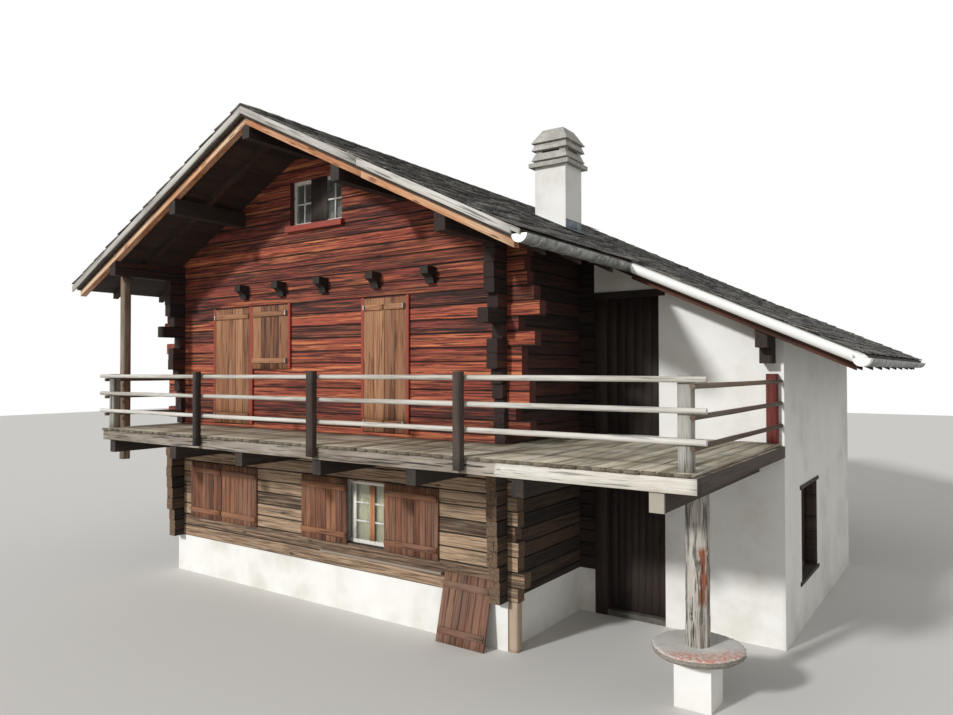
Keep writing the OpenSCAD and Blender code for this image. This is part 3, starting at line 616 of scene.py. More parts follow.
@dataclass(frozen=True)
class PartPaintedZinc(SheetMetal):
    """Zinc gutters with white oil paint on the front fall pipe: before one y, right of one x."""

    paint: str = "#E9E9E6"
    before_y: float = 1.462
    right_of_x: float = 1.127

    def build(self) -> Material:
        """Builds the zinc, then mixes the paint over it where the point lies in the painted part.

        Returns:
            The finished material.
        """
        look = Shading(super().build())
        x, y, _ = look.axes(look.point)
        painted = look.within((y, self.before_y, self.before_y - HAIR),
                              (x, self.right_of_x, self.right_of_x + HAIR))
        colour, _ = look.coats(look.colour(), (painted, 0.0, 1.0, 1.0, self.paint))
        look.feed(Base_Color=colour, Metallic=look.total((painted, -self.metallic), (self.metallic, 1.0)))
        return look.material


@dataclass(frozen=True)
class WindowGlass:
    """Drawn window glass: clear, faintly green, mirror-smooth, with a slight wave of the drawing."""

    name: str = "drawn_window_glass"

    def build(self) -> Material:
        """Builds the glass with waves of about 0.3 m.

        Returns:
            The finished material.
        """
        look = Shading.new(self.name, 0.03)
        look.feed(Transmission_Weight=0.92, IOR=1.5, Specular_IOR_Level=0.25)
        wave, = look.noises(look.point, None, (EVEN, 3.2, 1.0, 0.55))
        return look.finish(linear("#E8EEE9"), wave, 0.08, 0.004)


@dataclass(frozen=True)
class OilPaint:
    """Brushed linseed oil paint on joinery: nearly even colour, faint brush marks, worn to grey at places."""

    name: str
    colour: str
    worn: str
    roughness: float = 0.5

    def build(self) -> Material:
        """Builds the paint with wear in patches of about 60 mm.

        Returns:
            The finished material.
        """
        look = Shading.new(self.name, self.roughness)
        wear, brush = look.noises(look.point, None, (EVEN, 16.0, 6.0, 0.7),
                                     ((60.0, 60.0, 6.0), 1.0, 3.0, 0.55))
        paint, _ = look.coats(self.colour, (wear, 0.56, 0.70, 1.0, self.worn))
        return look.finish(paint, brush, 0.25, 0.002)


# Surfaces


def box_outline(width: float, depth: float, chamfer: float) -> Array:
    """Gives a rectangle's outline with chamfered corners, centred, as eight points.

    Each corner (+-w/2, +-d/2) is cut back by the chamfer along both of its sides.

    Args:
        width: its size along x.
        depth: its size along y.
        chamfer: how far a corner is cut back.

    Returns:
        Points of shape (8, 2).
    """
    x, y, c = width / 2, depth / 2, chamfer
    return np.array([[x - c, -y], [x, -y + c], [x, y - c], [x - c, y],
                     [-x + c, y], [-x, y - c], [-x, -y + c], [-x + c, -y]])


def angles(count: int) -> Array:
    """Gives even angles once round, in radians."""
    return np.arange(count) * (2 * math.pi / count)


def points(x: Any, y: Any, z: Any) -> Array:
    """Gives points from their coordinates, each a number or an array."""
    return np.stack(np.broadcast_arrays(x, y, z), axis=-1).astype(float)


def round_outline(radius: float, count: int = 14) -> Array:
    """Gives a circle's outline: (r cos a, r sin a) at even angles."""
    angle = angles(count)
    return np.stack([np.cos(angle), np.sin(angle)], axis=1) * radius


def carried(starts: Any, ends: Any, across: Any, up: Any, outline: Array, stations: int = 2,
            bow: float = 0.0, seed: int = 1, swell: float = 0.0) -> Array:
    """Carries one outline along many straight paths at once.

    Point = start + t (end - start) + outline x * across + outline y * up, with t from 0 to 1 in even
    steps, plus a bow of one half sine wave along t, whose size differs from copy to copy, and a swell
    that scales the outline by 1 + swell * sine.

    Args:
        starts: path starts, one row a copy.
        ends: path ends, one row a copy.
        across: unit vector of the outline's x, shared or one row a copy.
        up: unit vector of the outline's y, shared or one row a copy.
        outline: outline points, shared or one set a copy.
        stations: number of rings along the path.
        bow: largest bow in metres.
        seed: seed of the bow's sizes.
        swell: largest change of the outline's scale.

    Returns:
        Rings of shape (copies, stations, points, 3).
    """
    starts, ends = np.atleast_2d(np.asarray(starts, float)), np.atleast_2d(np.asarray(ends, float))
    copies = len(starts)
    across = np.broadcast_to(np.asarray(across, float), (copies, 3))
    up = np.broadcast_to(np.asarray(up, float), (copies, 3))
    outline = np.broadcast_to(outline, (copies,) + outline.shape[-2:])
    rng = np.random.default_rng(seed)
    t = np.linspace(0, 1, stations)
    size = rng.uniform(-1, 1, (copies, 2, 1)) * bow
    wave = np.sin(math.pi * t)[None, :] * size[:, 0] + np.sin(2 * math.pi * t)[None, :] * size[:, 1] * 0.5
    fat = 1 + swell * np.sin(math.pi * t[None, :] * 3 + rng.uniform(0, 6, (copies, 1)))
    middle = starts[:, None] + t[None, :, None] * (ends - starts)[:, None] + wave[..., None] * up[:, None]
    flat = outline[:, None, :, :, None]
    ring = flat[:, :, :, 0] * across[:, None, None] + flat[:, :, :, 1] * up[:, None, None]
    return middle[:, :, None] + ring * fat[..., None, None]


def upright(x: Any, y: Any, foot: float, high: float, outline: Array, *path: Any) -> Array:
    """Carries an outline straight up, once for each x.

    Args:
        x: one place or several.
        y: the same for y.
        foot: height of the lower end.
        high: length of the path.
        outline: outline points.
        path: stations, bow and seed, as carried takes them.

    Returns:
        Rings of shape (copies, stations, points, 3).
    """
    start = points(x, y, foot)
    return carried(start, start + Z * high, X, Y, outline, *path)


def lay(name: str, rings: Array, finish: Material, body: Body = Body.HOUSE, tones: Array | None = None,
        slot: str | None = None, stands_for: Sequence[str] = (), smooth: bool = False) -> bpy.types.Object:
    """Skins rings into closed solids and puts them in the scene as one piece.

    Faces join each ring to the next and close both ends. The attribute "grain" holds the length along
    the path, the place round the outline and a number a copy; "tone" holds each copy's shade.

    Args:
        name: the piece's name.
        rings: array of shape (copies, stations, points, 3).
        finish: the material.
        body: the CAD body that it rides on.
        tones: one shade a copy from 0 to 1, or None for seeded ones.
        slot: the name of a material slot; not used.
        stands_for: CAD nodes that the piece replaces.
        smooth: True shades across edges under 40 degrees.

    Returns:
        The new object.
    """
    copies, stations, points, _ = rings.shape
    count = copies * stations * points
    number = np.arange(count).reshape(copies, stations, points)
    near, far = number[:, :-1], number[:, 1:]
    sides = np.stack([near, np.roll(near, -1, 2), np.roll(far, -1, 2), far], axis=-1).reshape(-1, 4)
    caps = np.concatenate([number[:, 0, ::-1], number[:, -1]])
    loops = np.concatenate([sides.ravel(), caps.ravel()])
    starts = np.concatenate([np.arange(len(sides)) * 4, len(sides) * 4 + np.arange(len(caps)) * points])
    mesh = bpy.data.meshes.new(name)
    mesh.vertices.add(count)
    mesh.vertices.foreach_set("co", rings.astype(np.float32).ravel())
    mesh.loops.add(len(loops))
    mesh.loops.foreach_set("vertex_index", loops.astype(np.int32))
    mesh.polygons.add(len(starts))
    mesh.polygons.foreach_set("loop_start", starts.astype(np.int32))
    mesh.update(calc_edges=True)
    if tones is None:
        tones = np.random.default_rng(copies * 7 + stations).uniform(0, 1, copies)
    shade = np.broadcast_to(np.asarray(tones)[:, None, None], (copies, stations, points))
    middle = rings.mean(axis=2)
    step = np.linalg.norm(np.diff(middle, axis=1), axis=2)
    along = np.concatenate([np.zeros((copies, 1)), np.cumsum(step, axis=1)], axis=1)
    spread = rings - middle[:, :, None]
    grain = np.stack([np.broadcast_to(along[..., None], shade.shape) + shade * 11,
                      spread[..., 0] + spread[..., 1] * 0.7 + shade * 5, spread[..., 2] + shade * 3], axis=-1)
    mesh.attributes.new("tone", "FLOAT", "POINT").data.foreach_set("value", shade.astype(np.float32).ravel())
    mesh.attributes.new("grain", "FLOAT_VECTOR", "POINT").data.foreach_set("vector",
                                                                         grain.astype(np.float32).ravel())
    work = bmesh.new()
    work.from_mesh(mesh)
    bmesh.ops.recalc_face_normals(work, faces=work.faces)
    work.to_mesh(mesh)
    work.free()
    if smooth:
        mesh.shade_smooth()
        mesh.set_sharp_from_angle(angle=math.radians(40))
    mesh.materials.append(finish)
    piece = bpy.data.objects.new(name, mesh)
    bpy.context.collection.objects.link(piece)
    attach(piece, body.value)
    if stands_for:
        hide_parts(*stands_for)
    LOG.info("laid %s: %d copies on %s in %s", name, copies, body.value, finish.name)
    return piece


def dress(finish: Material, *nodes: str) -> None:
    """Gives CAD nodes a material through their material slots.

    Args:
        finish: the material.
        nodes: names of CAD nodes.
    """
    for node in nodes:
        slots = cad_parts[node].data.materials
        slots.clear()
        slots.append(finish)
        LOG.info("dressed %s in %s", node, finish.name)


# Sub-assemblies


@dataclass
class Palette:
    """The finishes shared between sub-assemblies, each built once."""

    sunburnt_x: Material = field(init=False)
    upper_side_logs_painted_shade: Material = field(init=False)
    shaded_x: Material = field(init=False)
    lower_side_logs_painted_shade: Material = field(init=False)
    render: Material = field(init=False)
    dark_timber: Material = field(init=False)
    dark_beam_painted_shade: Material = field(init=False)
    zinc: Material = field(init=False)
    iron: Material = field(init=False)

    def __post_init__(self) -> None:
        """Builds the shared finishes."""
        red = ("#2A0F0B", "#7A3022", "#B2553C", "#EE9660", "#A34B44")
        # umber: the upper side walls' larch, far darker than the red front logs; the extra darkness is
        # painted shade
        umber = ("#110A08", "#331B14", "#50291D", "#6A3A28", "#2A1E1A")
        grey = ("#4F3C2D", "#967A60", "#C0A283", "#D4BCA0", "#A5907A")
        # brown: the ground side walls' larch, far darker than the grey front logs; the extra darkness is
        # painted shade
        brown = ("#17110D", "#3A2B21", "#574333", "#6C5542", "#40352C")
        front, side = (Grain.ALONG_X, FRONT_COURSE), (Grain.ALONG_Y, SIDE_COURSE)
        self.sunburnt_x = SquaredLogs("sunburnt_larch_logs_x", *red, *front, worn_share=0.9).build()
        self.upper_side_logs_painted_shade = SquaredLogs("larch_logs_y_painted_shade", *umber, *side, "#2C1912",
                                      worn_share=0.5, crack_share=0.7).build()
        self.shaded_x = SquaredLogs("weathered_larch_logs_x", *grey, *front, "#5A4634",
                                    worn_share=0.5, crack_share=0.5).build()
        self.lower_side_logs_painted_shade = SquaredLogs("weathered_larch_logs_y_painted_shade", *brown, *side, "#AD8C6C",
                                    worn_share=0.4, crack_share=0.6).build()
        self.render = LimeRender("whitewashed_lime_render").build()
        self.dark_timber = Timber("dark_hewn_larch", "#1A120E", "#33241C", "#4E382B", "#4A423B").build()
        # near-black beams: hewn larch darkened further as painted shade under roof and eaves
        self.dark_beam_painted_shade = Timber("dark_hewn_larch_beams_painted_shade", "#0E0A08", "#231812", "#3A291E", "#332A23",
                                grain=Grain.ALONG_Y, board=0.2).build()
        self.zinc = SheetMetal("rolled_zinc", "#C3C7C9", "#8E9496").build()
        self.iron = SheetMetal("wrought_iron", "#4A4744", "#2A2624", 0.55, 0.8).build()


@dataclass
class LogBlock:
    """Squared-log walls, floors and joists."""

    palette: Palette

    def build(self) -> None:
        """Dresses the log walls, each with its grain along the logs."""
        dress(self.palette.sunburnt_x, "upper_front_wall", "upper_back_wall")
        # upper side walls: a darker copy of the logs, whose extra darkness is painted shade
        dress(self.palette.upper_side_logs_painted_shade, "upper_side_walls")
        dress(self.palette.shaded_x, "ground_front_wall", "ground_back_wall")
        # ground side walls: a darker copy of the logs, whose extra darkness is painted shade
        dress(self.palette.lower_side_logs_painted_shade, "ground_side_walls")
        tarred = ("#100B09", "#241812", "#382820", "#45332A", "#2C231D")
        ends = SquaredLogs("dark_larch_log_ends", *tarred, Grain.ALONG_X, FRONT_COURSE, worn_share=0.3,
                           crack_share=0.6)
        dress(ends.build(), "annex_front_left")
        # the attic joists take the near-black beam finish with its painted shade
        dress(self.palette.dark_beam_painted_shade, "attic_joists")
        # deck beams: near black, darker than hewn larch; the darkness is painted shade under the deck
        beam = Timber("hewn_larch_deck_beams_painted_shade", "#120D0A", "#2C2019", "#463529", "#3D342C",
                      grain=Grain.ALONG_Y, board=0.2).build()
        # the carrying beam's front end past the fascia is mixed toward cream
        dress(part_coloured(beam, [(1, -1.39, False), (0, 2.4, True)], "#C9C2B2", "MIX", 0.62), "deck_beams")
        floor = Timber("scrubbed_spruce_floor", "#6B4E33", "#8F6C49", "#A98560", "#9C8C78",
                       grain=Grain.ALONG_Y, board=0.16).build()
        dress(floor, "upper_floor", "attic_floor")


@dataclass
class Masonry:
    """Rendered plinth, annex walls, pier and the stone ground floor."""

    palette: Palette

    def build(self) -> None:
        """Dresses the rendered walls and the ground floor."""
        dress(self.palette.render, "plinth_front_back", "plinth_sides", "annex_front_over_door",
              "annex_front_right", "annex_right_wall", "annex_back_wall", "pier")
        flags = SplitStone("worn_stone_flags", "#55514B", "#7B766D", "#9A958B", "#6E6A5C", 0.1).build()
        dress(flags, "ground_floor")


@dataclass
class Roof:
    """Slates, ridge, soffit, rafters, verge boards and gutters. Sizes in metres."""

    palette: Palette
    ridge_x: float = -3.54
    ridge_z: float = 7.32
    eave_x: float = 1.05
    eave_z: float = 5.082
    annex_x: float = 3.93
    annex_z: float = 3.7658
    front: float = -1.42
    back: float = 9.82
    annex_front: float = 1.46
    exposure: float = 0.205
    tuck: float = 0.036
    slate: tuple[float, float, float] = (0.30, 0.34, 0.014)
    slate_past_eave: float = 0.012
    slate_past_verge: float = 0.015
    slate_lift: tuple[float, float] = (0.019, 0.034)
    ridge_slate: tuple[float, float, float] = (0.19, 0.34, 0.01)
    ridge_step: float = 0.32
    board_length: float = 1.9
    gutter_radius: float = 0.0965
    gutter_centre: tuple[float, float] = (-0.02, -0.046)
    stack: tuple[float, float, float, float] = (-1.17, -0.595, 2.74, 3.315)

    def slope(self, name: str, top: tuple[float, float], foot: tuple[float, float], near: float,
              seed: int, finish: Material) -> None:
        """Lays the slates of one slope in rows that each lap over the row below.

        A slate runs from t on the slope to t + its length, its tail lifted by the slate under it. Rows are
        set half a slate apart, and each slate is a little off in place, tilt and length.

        Args:
            name: the piece's name.
            top: x and z of the slope's upper edge.
            foot: x and z of its lower edge.
            near: y of its front verge.
            seed: seed of the small differences.
            finish: the slates' material.
        """
        rng = np.random.default_rng(seed)
        run = np.array([foot[0] - top[0], 0.0, foot[1] - top[1]])
        length = float(np.linalg.norm(run))
        down = run / length
        out = np.cross(down, Y)
        out = out if out[2] > 0 else -out
        wide, long, thick = self.slate
        rows = int(math.ceil(length / self.exposure))
        columns = int(math.ceil((self.back - near) / wide)) + 1
        row, column = np.meshgrid(np.arange(rows), np.arange(columns), indexing="ij")
        tail = (row + 1) * (length / rows) + self.slate_past_eave
        y = near + (column + 0.5 * (row % 2)) * wide
        keep = (y - wide * 0.55 < self.back) & (y + wide * 0.3 > near)
        y0 = np.maximum(y - wide / 2, near - self.slate_past_verge)
        y1 = np.minimum(y + wide / 2, self.back)
        keep &= (y1 - y0) > 0.05
        middle = top[0] + down[0] * (tail - self.exposure / 2)
        x0, x1, s0, s1 = self.stack
        keep &= ~((middle > x0 + 0.06) & (middle < x1 + 0.1) & (y > s0) & (y < s1))
        tail, y0, y1 = tail[keep], y0[keep], y1[keep]
        size = len(tail)
        tail = tail + rng.uniform(-0.006, 0.006, size)
        head = np.maximum(tail - long, 0.0)
        lift = rng.uniform(*self.slate_lift, size)
        centre = points(top[0], (y0 + y1) / 2, top[1])
        start = centre + head[:, None] * down + (thick / 2 + 0.001) * out
        end = centre + tail[:, None] * down + lift[:, None] * out
        outline = box_outline(1.0, 1.0, 0.0)[None] * np.stack([(y1 - y0 - 0.004), np.full(size, thick)],
                                                              axis=1)[:, None]
        rings = carried(start, end, Y, out, outline[:, [0, 2, 4, 6]])
        lay(name, rings, finish, tones=rng.uniform(0, 1, size), slot="roof_slate")

    def ridge(self, finish: Material) -> None:
        """Covers the ridge with two rows of slates that lap along it, leaning on either slope.

        Args:
            finish: the slates' material.
        """
        rng = np.random.default_rng(5)
        pitch = (self.ridge_z - self.eave_z) / (self.eave_x - self.ridge_x)
        wide, long, thick = self.ridge_slate
        y = np.arange(self.front, self.back - 0.05, self.ridge_step)
        size = len(y)
        for side, sign in (("right", 1.0), ("left", -1.0)):
            down = np.array([sign, 0.0, -pitch]) / math.hypot(1, pitch)
            out = np.array([sign * pitch, 0.0, 1.0]) / math.hypot(1, pitch)
            start = points(self.ridge_x, y, self.ridge_z) + down * 0.085 + out * 0.036
            end = start + Y * long + out * rng.uniform(0.008, 0.014, (size, 1))
            end[:, 1] = np.minimum(end[:, 1], self.back)
            rings = carried(start, end, down, out, box_outline(wide, thick, 0.0)[[0, 2, 4, 6]])
            lay(f"ridge_slates_{side}", rings, finish, slot="roof_slate")

    def surface(self, x: Array) -> Array:
        """Gives the roof's height at each x: falling both ways from the ridge, flatter over the annex.

        Args:
            x: places across the ridge.

        Returns:
            The height of the roof's upper surface at each place.
        """
        steep = (self.ridge_z - self.eave_z) / (self.eave_x - self.ridge_x)
        flat = (self.eave_z - self.annex_z) / (self.annex_x - self.eave_x)
        main = self.ridge_z - steep * np.abs(x - self.ridge_x)
        return np.where(x > self.eave_x, self.eave_z - flat * (x - self.eave_x), main)

    def sloped_boards(self, name: str, runs: Sequence[tuple[float, ...]], depth: float,
                      finish: Material, slot: str, stands_for: Sequence[str] = ()) -> None:
        """Carries upright boards along the roof's slopes, each cut plumb at both ends.

        A run from x0 to x1 is divided into boards of about 1.9 m, with 4 mm between them and every
        second one 4 mm lower. Point = roof height at x - depth - half the board's height.

        Args:
            name: the piece's name.
            runs: for each run x0, x1, the y of its near and far face, and its height.
            depth: how far its top lies under the roof's surface.
            finish: the boards' material.
            slot: the name of a material slot, handed to lay, which doesn't use it.
            stands_for: CAD nodes that the piece replaces.
        """
        parts = []
        for x0, x1, near, far, high in runs:
            count = max(1, round(abs(x1 - x0) / self.board_length))
            edges = np.linspace(x0, x1, count + 1)
            low, top = edges[:-1] + 0.002, edges[1:] - 0.002
            drop = depth + high / 2 + 0.004 * (np.arange(count) % 2)
            y = (near + far) / 2
            start, end = points(low, y, self.surface(low) - drop), points(top, y, self.surface(top) - drop)
            parts.append(carried(start, end, Y, Z,
                                 box_outline(far - near, high, 0.003), 8, 0.002, count))
        lay(name, np.concatenate(parts), finish, slot=slot, stands_for=stands_for)

    def verges(self) -> None:
        """Lays the silvered verge boards and the faces of the fly rafters, front and back.

        A verge board is lower in its last 110 mm before an open eave, where the gutter's end is.
        """
        left, ridge, eave, end = 2 * self.ridge_x - self.eave_x, self.ridge_x, self.eave_x, self.annex_x
        gap, thick, tall, low, stub = 0.002, 0.029, 0.102, 0.06, 0.11
        front, annex = (self.front, self.front + thick), (self.annex_front, self.annex_front + thick)
        back = (self.back - thick, self.back)
        verge = [(left, ridge, *front, tall), (ridge, eave - stub, *front, tall),
                 (eave - stub, eave, *front, low), (left, ridge, *back, tall),
                 (ridge, eave, *back, tall), (eave, end - stub, *back, tall),
                 (end - stub, end, *back, low), (eave + gap, end - stub, *annex, tall),
                 (end - stub, end, *annex, low)]
        silver = Timber("silvered_verge_boards", "#77726A", "#ABA69D", "#D6D2C9", "#DDD9D1", 0.4).build()
        self.sloped_boards("verge_boards_along_slope", verge, 0.0, silver, "grey_boards", ["verge_boards"])
        skin, tall, under, inset, cut = 0.012, 0.098, 0.137, 0.1, 0.115
        front, annex = ((face + inset - skin, face + inset) for face in (self.front, self.annex_front))
        back = (self.back - inset, self.back - inset + skin)
        pale = [(left + cut, ridge, *front, tall), (ridge, eave - cut, *front, tall),
                (left + cut, ridge, *back, tall), (ridge, eave, *back, tall)]
        pine = Timber("knotty_pine_rafter_faces", "#B4764C", "#DCA276", "#F0C9A2", "#EACBA8", 0.4, check=0.3,
                      knots=0.85).build()
        self.sloped_boards("pale_rafter_faces", pale, under, pine, "orange_pine")
        # over the annex the rafter faces are a dark copy of the pine, whose darkness is painted shade
        brown = [(eave + gap, end - cut - gap, *annex, tall), (eave, end - cut - gap, *back, tall)]
        dark_wood = Timber("red_brown_rafter_faces_painted_shade", "#2A1711", "#57301F", "#7A4630", "#6A4534", 0.3).build()
        self.sloped_boards("brown_rafter_faces", brown, under, dark_wood, "orange_pine")

    def brackets(self) -> None:
        """Adds half-round straps under the gutters: an arc of 160 degrees carried as a flat band."""
        band, thick = 0.028, 0.004
        aside, under = self.gutter_centre
        arc = np.linspace(math.pi, 2 * math.pi - 0.35, 13)
        runs = [(self.eave_x, self.eave_z, np.arange(self.front + 0.35, self.annex_front - 0.1, 0.72)),
                (self.annex_x, self.annex_z, np.arange(self.annex_front + 0.35, self.back - 0.1, 0.80))]
        parts = []
        for x, z, places in runs:
            centre = np.array([x + aside, 0.0, z + under])
            ring = np.stack([np.cos(arc), np.zeros_like(arc), np.sin(arc)], axis=1)
            middle = centre + places[:, None, None] * Y + ring[None] * self.gutter_radius
            corner = np.array([[-band / 2, 0.0], [band / 2, 0.0], [band / 2, thick], [-band / 2, thick]])
            parts.append(middle[:, :, None] + corner[None, None, :, :1] * Y
                         + corner[None, None, :, 1:] * ring[None, :, None])
        lay("gutter_brackets", np.concatenate(parts), self.palette.zinc, slot="zinc")

    def build(self) -> None:
        """Lays the slates and dresses soffit, rafters, verge boards and gutters."""
        slate = SplitStone("split_slate", "#2B2C2F", "#504F4D", "#8B867D", "#A09B8F", 0.3, 48.0, 0.006, 0.75,
                           0.42).build()
        left_foot = (2 * self.ridge_x - self.eave_x + self.tuck, self.eave_z + ROOF_PITCH * self.tuck)
        ridge = (self.ridge_x, self.ridge_z)
        eave = (self.eave_x, self.eave_z)
        self.slope("slates_right", ridge, eave, self.front, 11, slate)
        self.slope("slates_left", ridge, left_foot, self.front, 12, slate)
        self.slope("slates_annex", eave, (self.annex_x, self.annex_z), self.annex_front, 13, slate)
        self.ridge(slate)
        self.verges()
        self.brackets()
        # soffit: near black, far darker than spruce; the darkness is painted shade under the roof
        soffit = Timber("spruce_soffit_boards_painted_shade", "#17100D", "#2D1E16", "#432E22", "#382D25",
                        grain=Grain.ALONG_Y, board=0.14).build()
        pine = Timber("stained_pine_rafters", "#A8663E", "#D99F74", "#F0CCA8", "#E6C3A2", 0.3, Grain.ALONG_X,
                      0.7, check=0.5).build()
        # right of the main eave, over the annex, the fly rafters are darkened: painted shade
        pine = part_coloured(pine, [(0, self.eave_x + 0.05, True)], "#6E4636", "MULTIPLY", 0.9)
        # inner rafters: a dark copy of the pine, whose darkness is painted shade under the roof
        brown = Timber("brown_pine_rafters_painted_shade", "#24170F", "#4A2E1D", "#6B452D", "#5A4738", 0.2,
                       Grain.ALONG_X).build()
        dress(soffit, "roof_left_slope", "roof_right_slope", "annex_roof")
        dress(pine, "fly_rafters")
        dress(brown, "rafters")
        # the purlins take the near-black beam finish with its painted shade
        dress(self.palette.dark_beam_painted_shade, "purlins")
        zinc = PartPaintedZinc("zinc_with_white_fall_pipe", "#A9ABA8", "#6F716E", 0.6).build()
        dress(part_coloured(zinc, [(1, self.front + 0.042, False)], "#F2F2EE"), "gutters")


@dataclass
class Chimney:
    """Rendered stack, lead flashing and weathered concrete cap. Sizes in metres."""

    palette: Palette
    face_x: float = -0.595
    face_z: float = 5.8842
    near: float = 2.74
    width: float = 0.575
    lead: float = 0.004

    def flashing(self, finish: Material) -> None:
        """Lays the lead: an upstand on the lower face, an apron over the slates, a strip along each side.

        Args:
            finish: the lead's material.
        """
        down = np.array([1.0, 0.0, -ROOF_PITCH]) / math.hypot(1, ROOF_PITCH)
        out = np.array([ROOF_PITCH, 0.0, 1.0]) / math.hypot(1, ROOF_PITCH)
        foot = np.array([self.face_x, self.near, self.face_z])
        far = Y * self.width
        upstand, apron, strip, past, reach = 0.21, 0.17, 0.07, 0.03, 0.85
        rise = foot + [self.lead, 0.0, 0.095]
        start = foot + down * 0.08 + out * 0.046
        edges = np.array([[0.0, -past, 0.0], [0.0, self.width + past, 0.0]])
        sides = foot - down * 0.69 + edges + out * 0.044
        sheets = [carried(rise, rise + far, X, Z, box_outline(self.lead, upstand, 0.0)),
                  carried(start - far * 0.08, start + far * 1.08, down, out,
                          box_outline(apron, self.lead, 0.0)),
                  carried(sides, sides + down * reach, Y, out, box_outline(strip, self.lead, 0.0))]
        for name, rings in zip(("lead_upstand", "lead_apron", "lead_side_strips"), sheets):
            lay(name, rings[:, :, [0, 2, 4, 6]], finish, slot="zinc",
                stands_for=["chimney_flashing"] if name == "lead_upstand" else ())

    def build(self) -> None:
        """Dresses the chimney and lays its lead."""
        dress(self.palette.render, "chimney_stack")
        self.flashing(SheetMetal("sheet_lead", "#737B82", "#4E565C", 0.6, 0.6).build())
        cap = SplitStone("cast_concrete_cap", "#B0ADA5", "#DBD8D0", "#F0EDE6", "#77736A", 0.25, 90.0,
                         0.008).build()
        dress(cap, "chimney_cap")


@dataclass
class Terrace:
    """Deck boards, joists, beams, rails and railing posts. Sizes in metres."""

    palette: Palette
    left: float = -7.015
    right: float = 2.92
    front: float = -1.45
    annex: float = 2.03
    top: float = 2.65
    thick: float = 0.04
    board: float = 0.165
    rail_levels: tuple[float, ...] = (0.854, 0.5693, 0.2847)
    log_ends: tuple[float, ...] = (0.14, 0.065, 0.08)
    post_at: tuple[float, ...] = (-4.39, -1.995, 0.315)
    post_widths: tuple[float, ...] = (0.085, 0.12, 0.105)
    post_foot: float = 2.5
    corner: float = 0.09
    corner_post: float = 0.13
    corner_top: float = 0.889
    joist: float = 0.15
    plank_from: float = 0.76

    def deck(self) -> None:
        """Lays the deck boards across the joists, each a little off in height, length and gap."""
        rng = np.random.default_rng(21)
        x = np.arange(self.left + self.board / 2, self.right, self.board)
        far = np.where(x > self.corner, self.annex - 0.004, -0.004)
        near = self.front - rng.uniform(0.012, 0.03, len(x))
        z = self.top - self.thick / 2 + rng.uniform(-0.003, 0.002, len(x))
        outline = box_outline(self.board - 0.014, self.thick - 0.004, 0.005)
        rings = carried(points(x, near, z), points(x, far, z), X, Z, outline, 6, 0.003, 22)
        plank = Timber("weathered_deck_boards", "#5E5646", "#B1A58B", "#D8CDB5", "#D9D2C0", 0.4).build()
        plank = part_coloured(plank, [(1, self.front + 0.004, False)], "#7A7064", "MULTIPLY", 0.8)
        lay("terrace_boards", rings, plank, slot="grey_boards", stands_for=["deck_boards"])

    def rails(self) -> None:
        """Carries the round rails, slightly crooked."""
        bleached = Timber("bleached_larch_poles", "#979085", "#C5BFB4", "#DDD8CE", "#E3DFD7", 0.4,
                          check=0.4).build()
        # side rails: a darker copy of the pole wood, whose extra darkness is painted shade
        brown = Timber("brown_larch_poles_painted_shade", "#3B2A20", "#5F4636", "#7E634E", "#7B6F62").build()
        level = self.top + np.array(self.rail_levels)
        low, line, near, far = level - 0.06, self.front + 0.03, self.front + 0.012, self.annex - 0.02
        logs = -np.array(self.log_ends)
        rows = (("front_rails", points(-7.14, line, level), points(3.01, line, level), Y, 0.029,
                 (60, 0.008, 31), bleached, ["rails"]),
                ("side_rails_right", points(2.885, near, low), points(2.885, far, low), X, 0.027,
                 (30, 0.006, 32), brown, ()),
                ("side_rails_left", points(-6.985, logs, low), points(-6.985, near, low), X, 0.027,
                 (12, 0.003, 33), brown, ()))
        for name, start, end, across, radius, path, finish, nodes in rows:
            poles = carried(start, end, across, Z, round_outline(radius), *path, 0.03)
            lay(name, poles, finish, slot="grey_boards", stands_for=nodes, smooth=True)

    def posts(self) -> None:
        """Carries the posts with chamfered edges."""
        umber = Timber("umber_larch_posts", "#1C130F", "#3A2820", "#574033", "#4E453D").build()
        grey = Timber("grey_larch_posts", "#464440", "#8A877F", "#BAB6AD", "#C6C3BA", 0.3, check=0.9).build()
        red = Timber("red_larch_post", "#35120E", "#66231B", "#883428", "#5C372C").build()
        faces = np.stack([box_outline(wide, 0.095, 0.012) for wide in self.post_widths])
        square = box_outline(self.corner_post, self.corner_post, 0.012)
        tall = self.top + 0.929 - self.post_foot
        rows = (("front_posts", self.post_at, self.front - 0.05, self.post_foot, tall, faces, 34, umber,
                 "dark_timber", ["railing_posts"]),
                ("corner_posts", (2.79, -6.89), self.front + 0.125, self.top, self.corner_top, square, 35,
                 grey, "grey_boards", ()),
                ("wall_post", 2.79, self.annex - 0.067, self.top, self.corner_top, square, 36, red,
                 "dark_timber", ()))
        for name, x, y, foot, high, outline, seed, finish, slot, nodes in rows:
            lay(name, upright(x, y, foot, high, outline, 8, 0.002, seed), finish, slot=slot, stands_for=nodes)

    def fascias(self) -> None:
        """Lays the newer pale plank before the front joist, and the dark board along the right side."""
        middle = self.top - self.thick - self.joist / 2
        skin, tall = 0.008, self.joist - 0.004
        outline = box_outline(skin, tall, 0.002)
        line, side = self.front - skin / 2, self.right + skin / 2
        plank = carried(points(self.plank_from, line, middle), points(self.right + skin, line, middle), Y, Z,
                        outline, 24, 0.0, 37)
        plank[0, 0, :, 0] += (plank[0, 0, :, 2] - middle) * 0.2
        cream = Timber("sawn_larch_fascia_plank", "#9C9184", "#CFC8BA", "#E2DCD0", "#E4E0D6", 0.6,
                       check=0.55).build()
        lay("pale_fascia_plank", plank, cream, slot="grey_boards")
        board = carried(points(side, self.front, middle), points(side, self.annex - 0.004, middle), X, Z,
                        outline, 24, 0.0, 38)
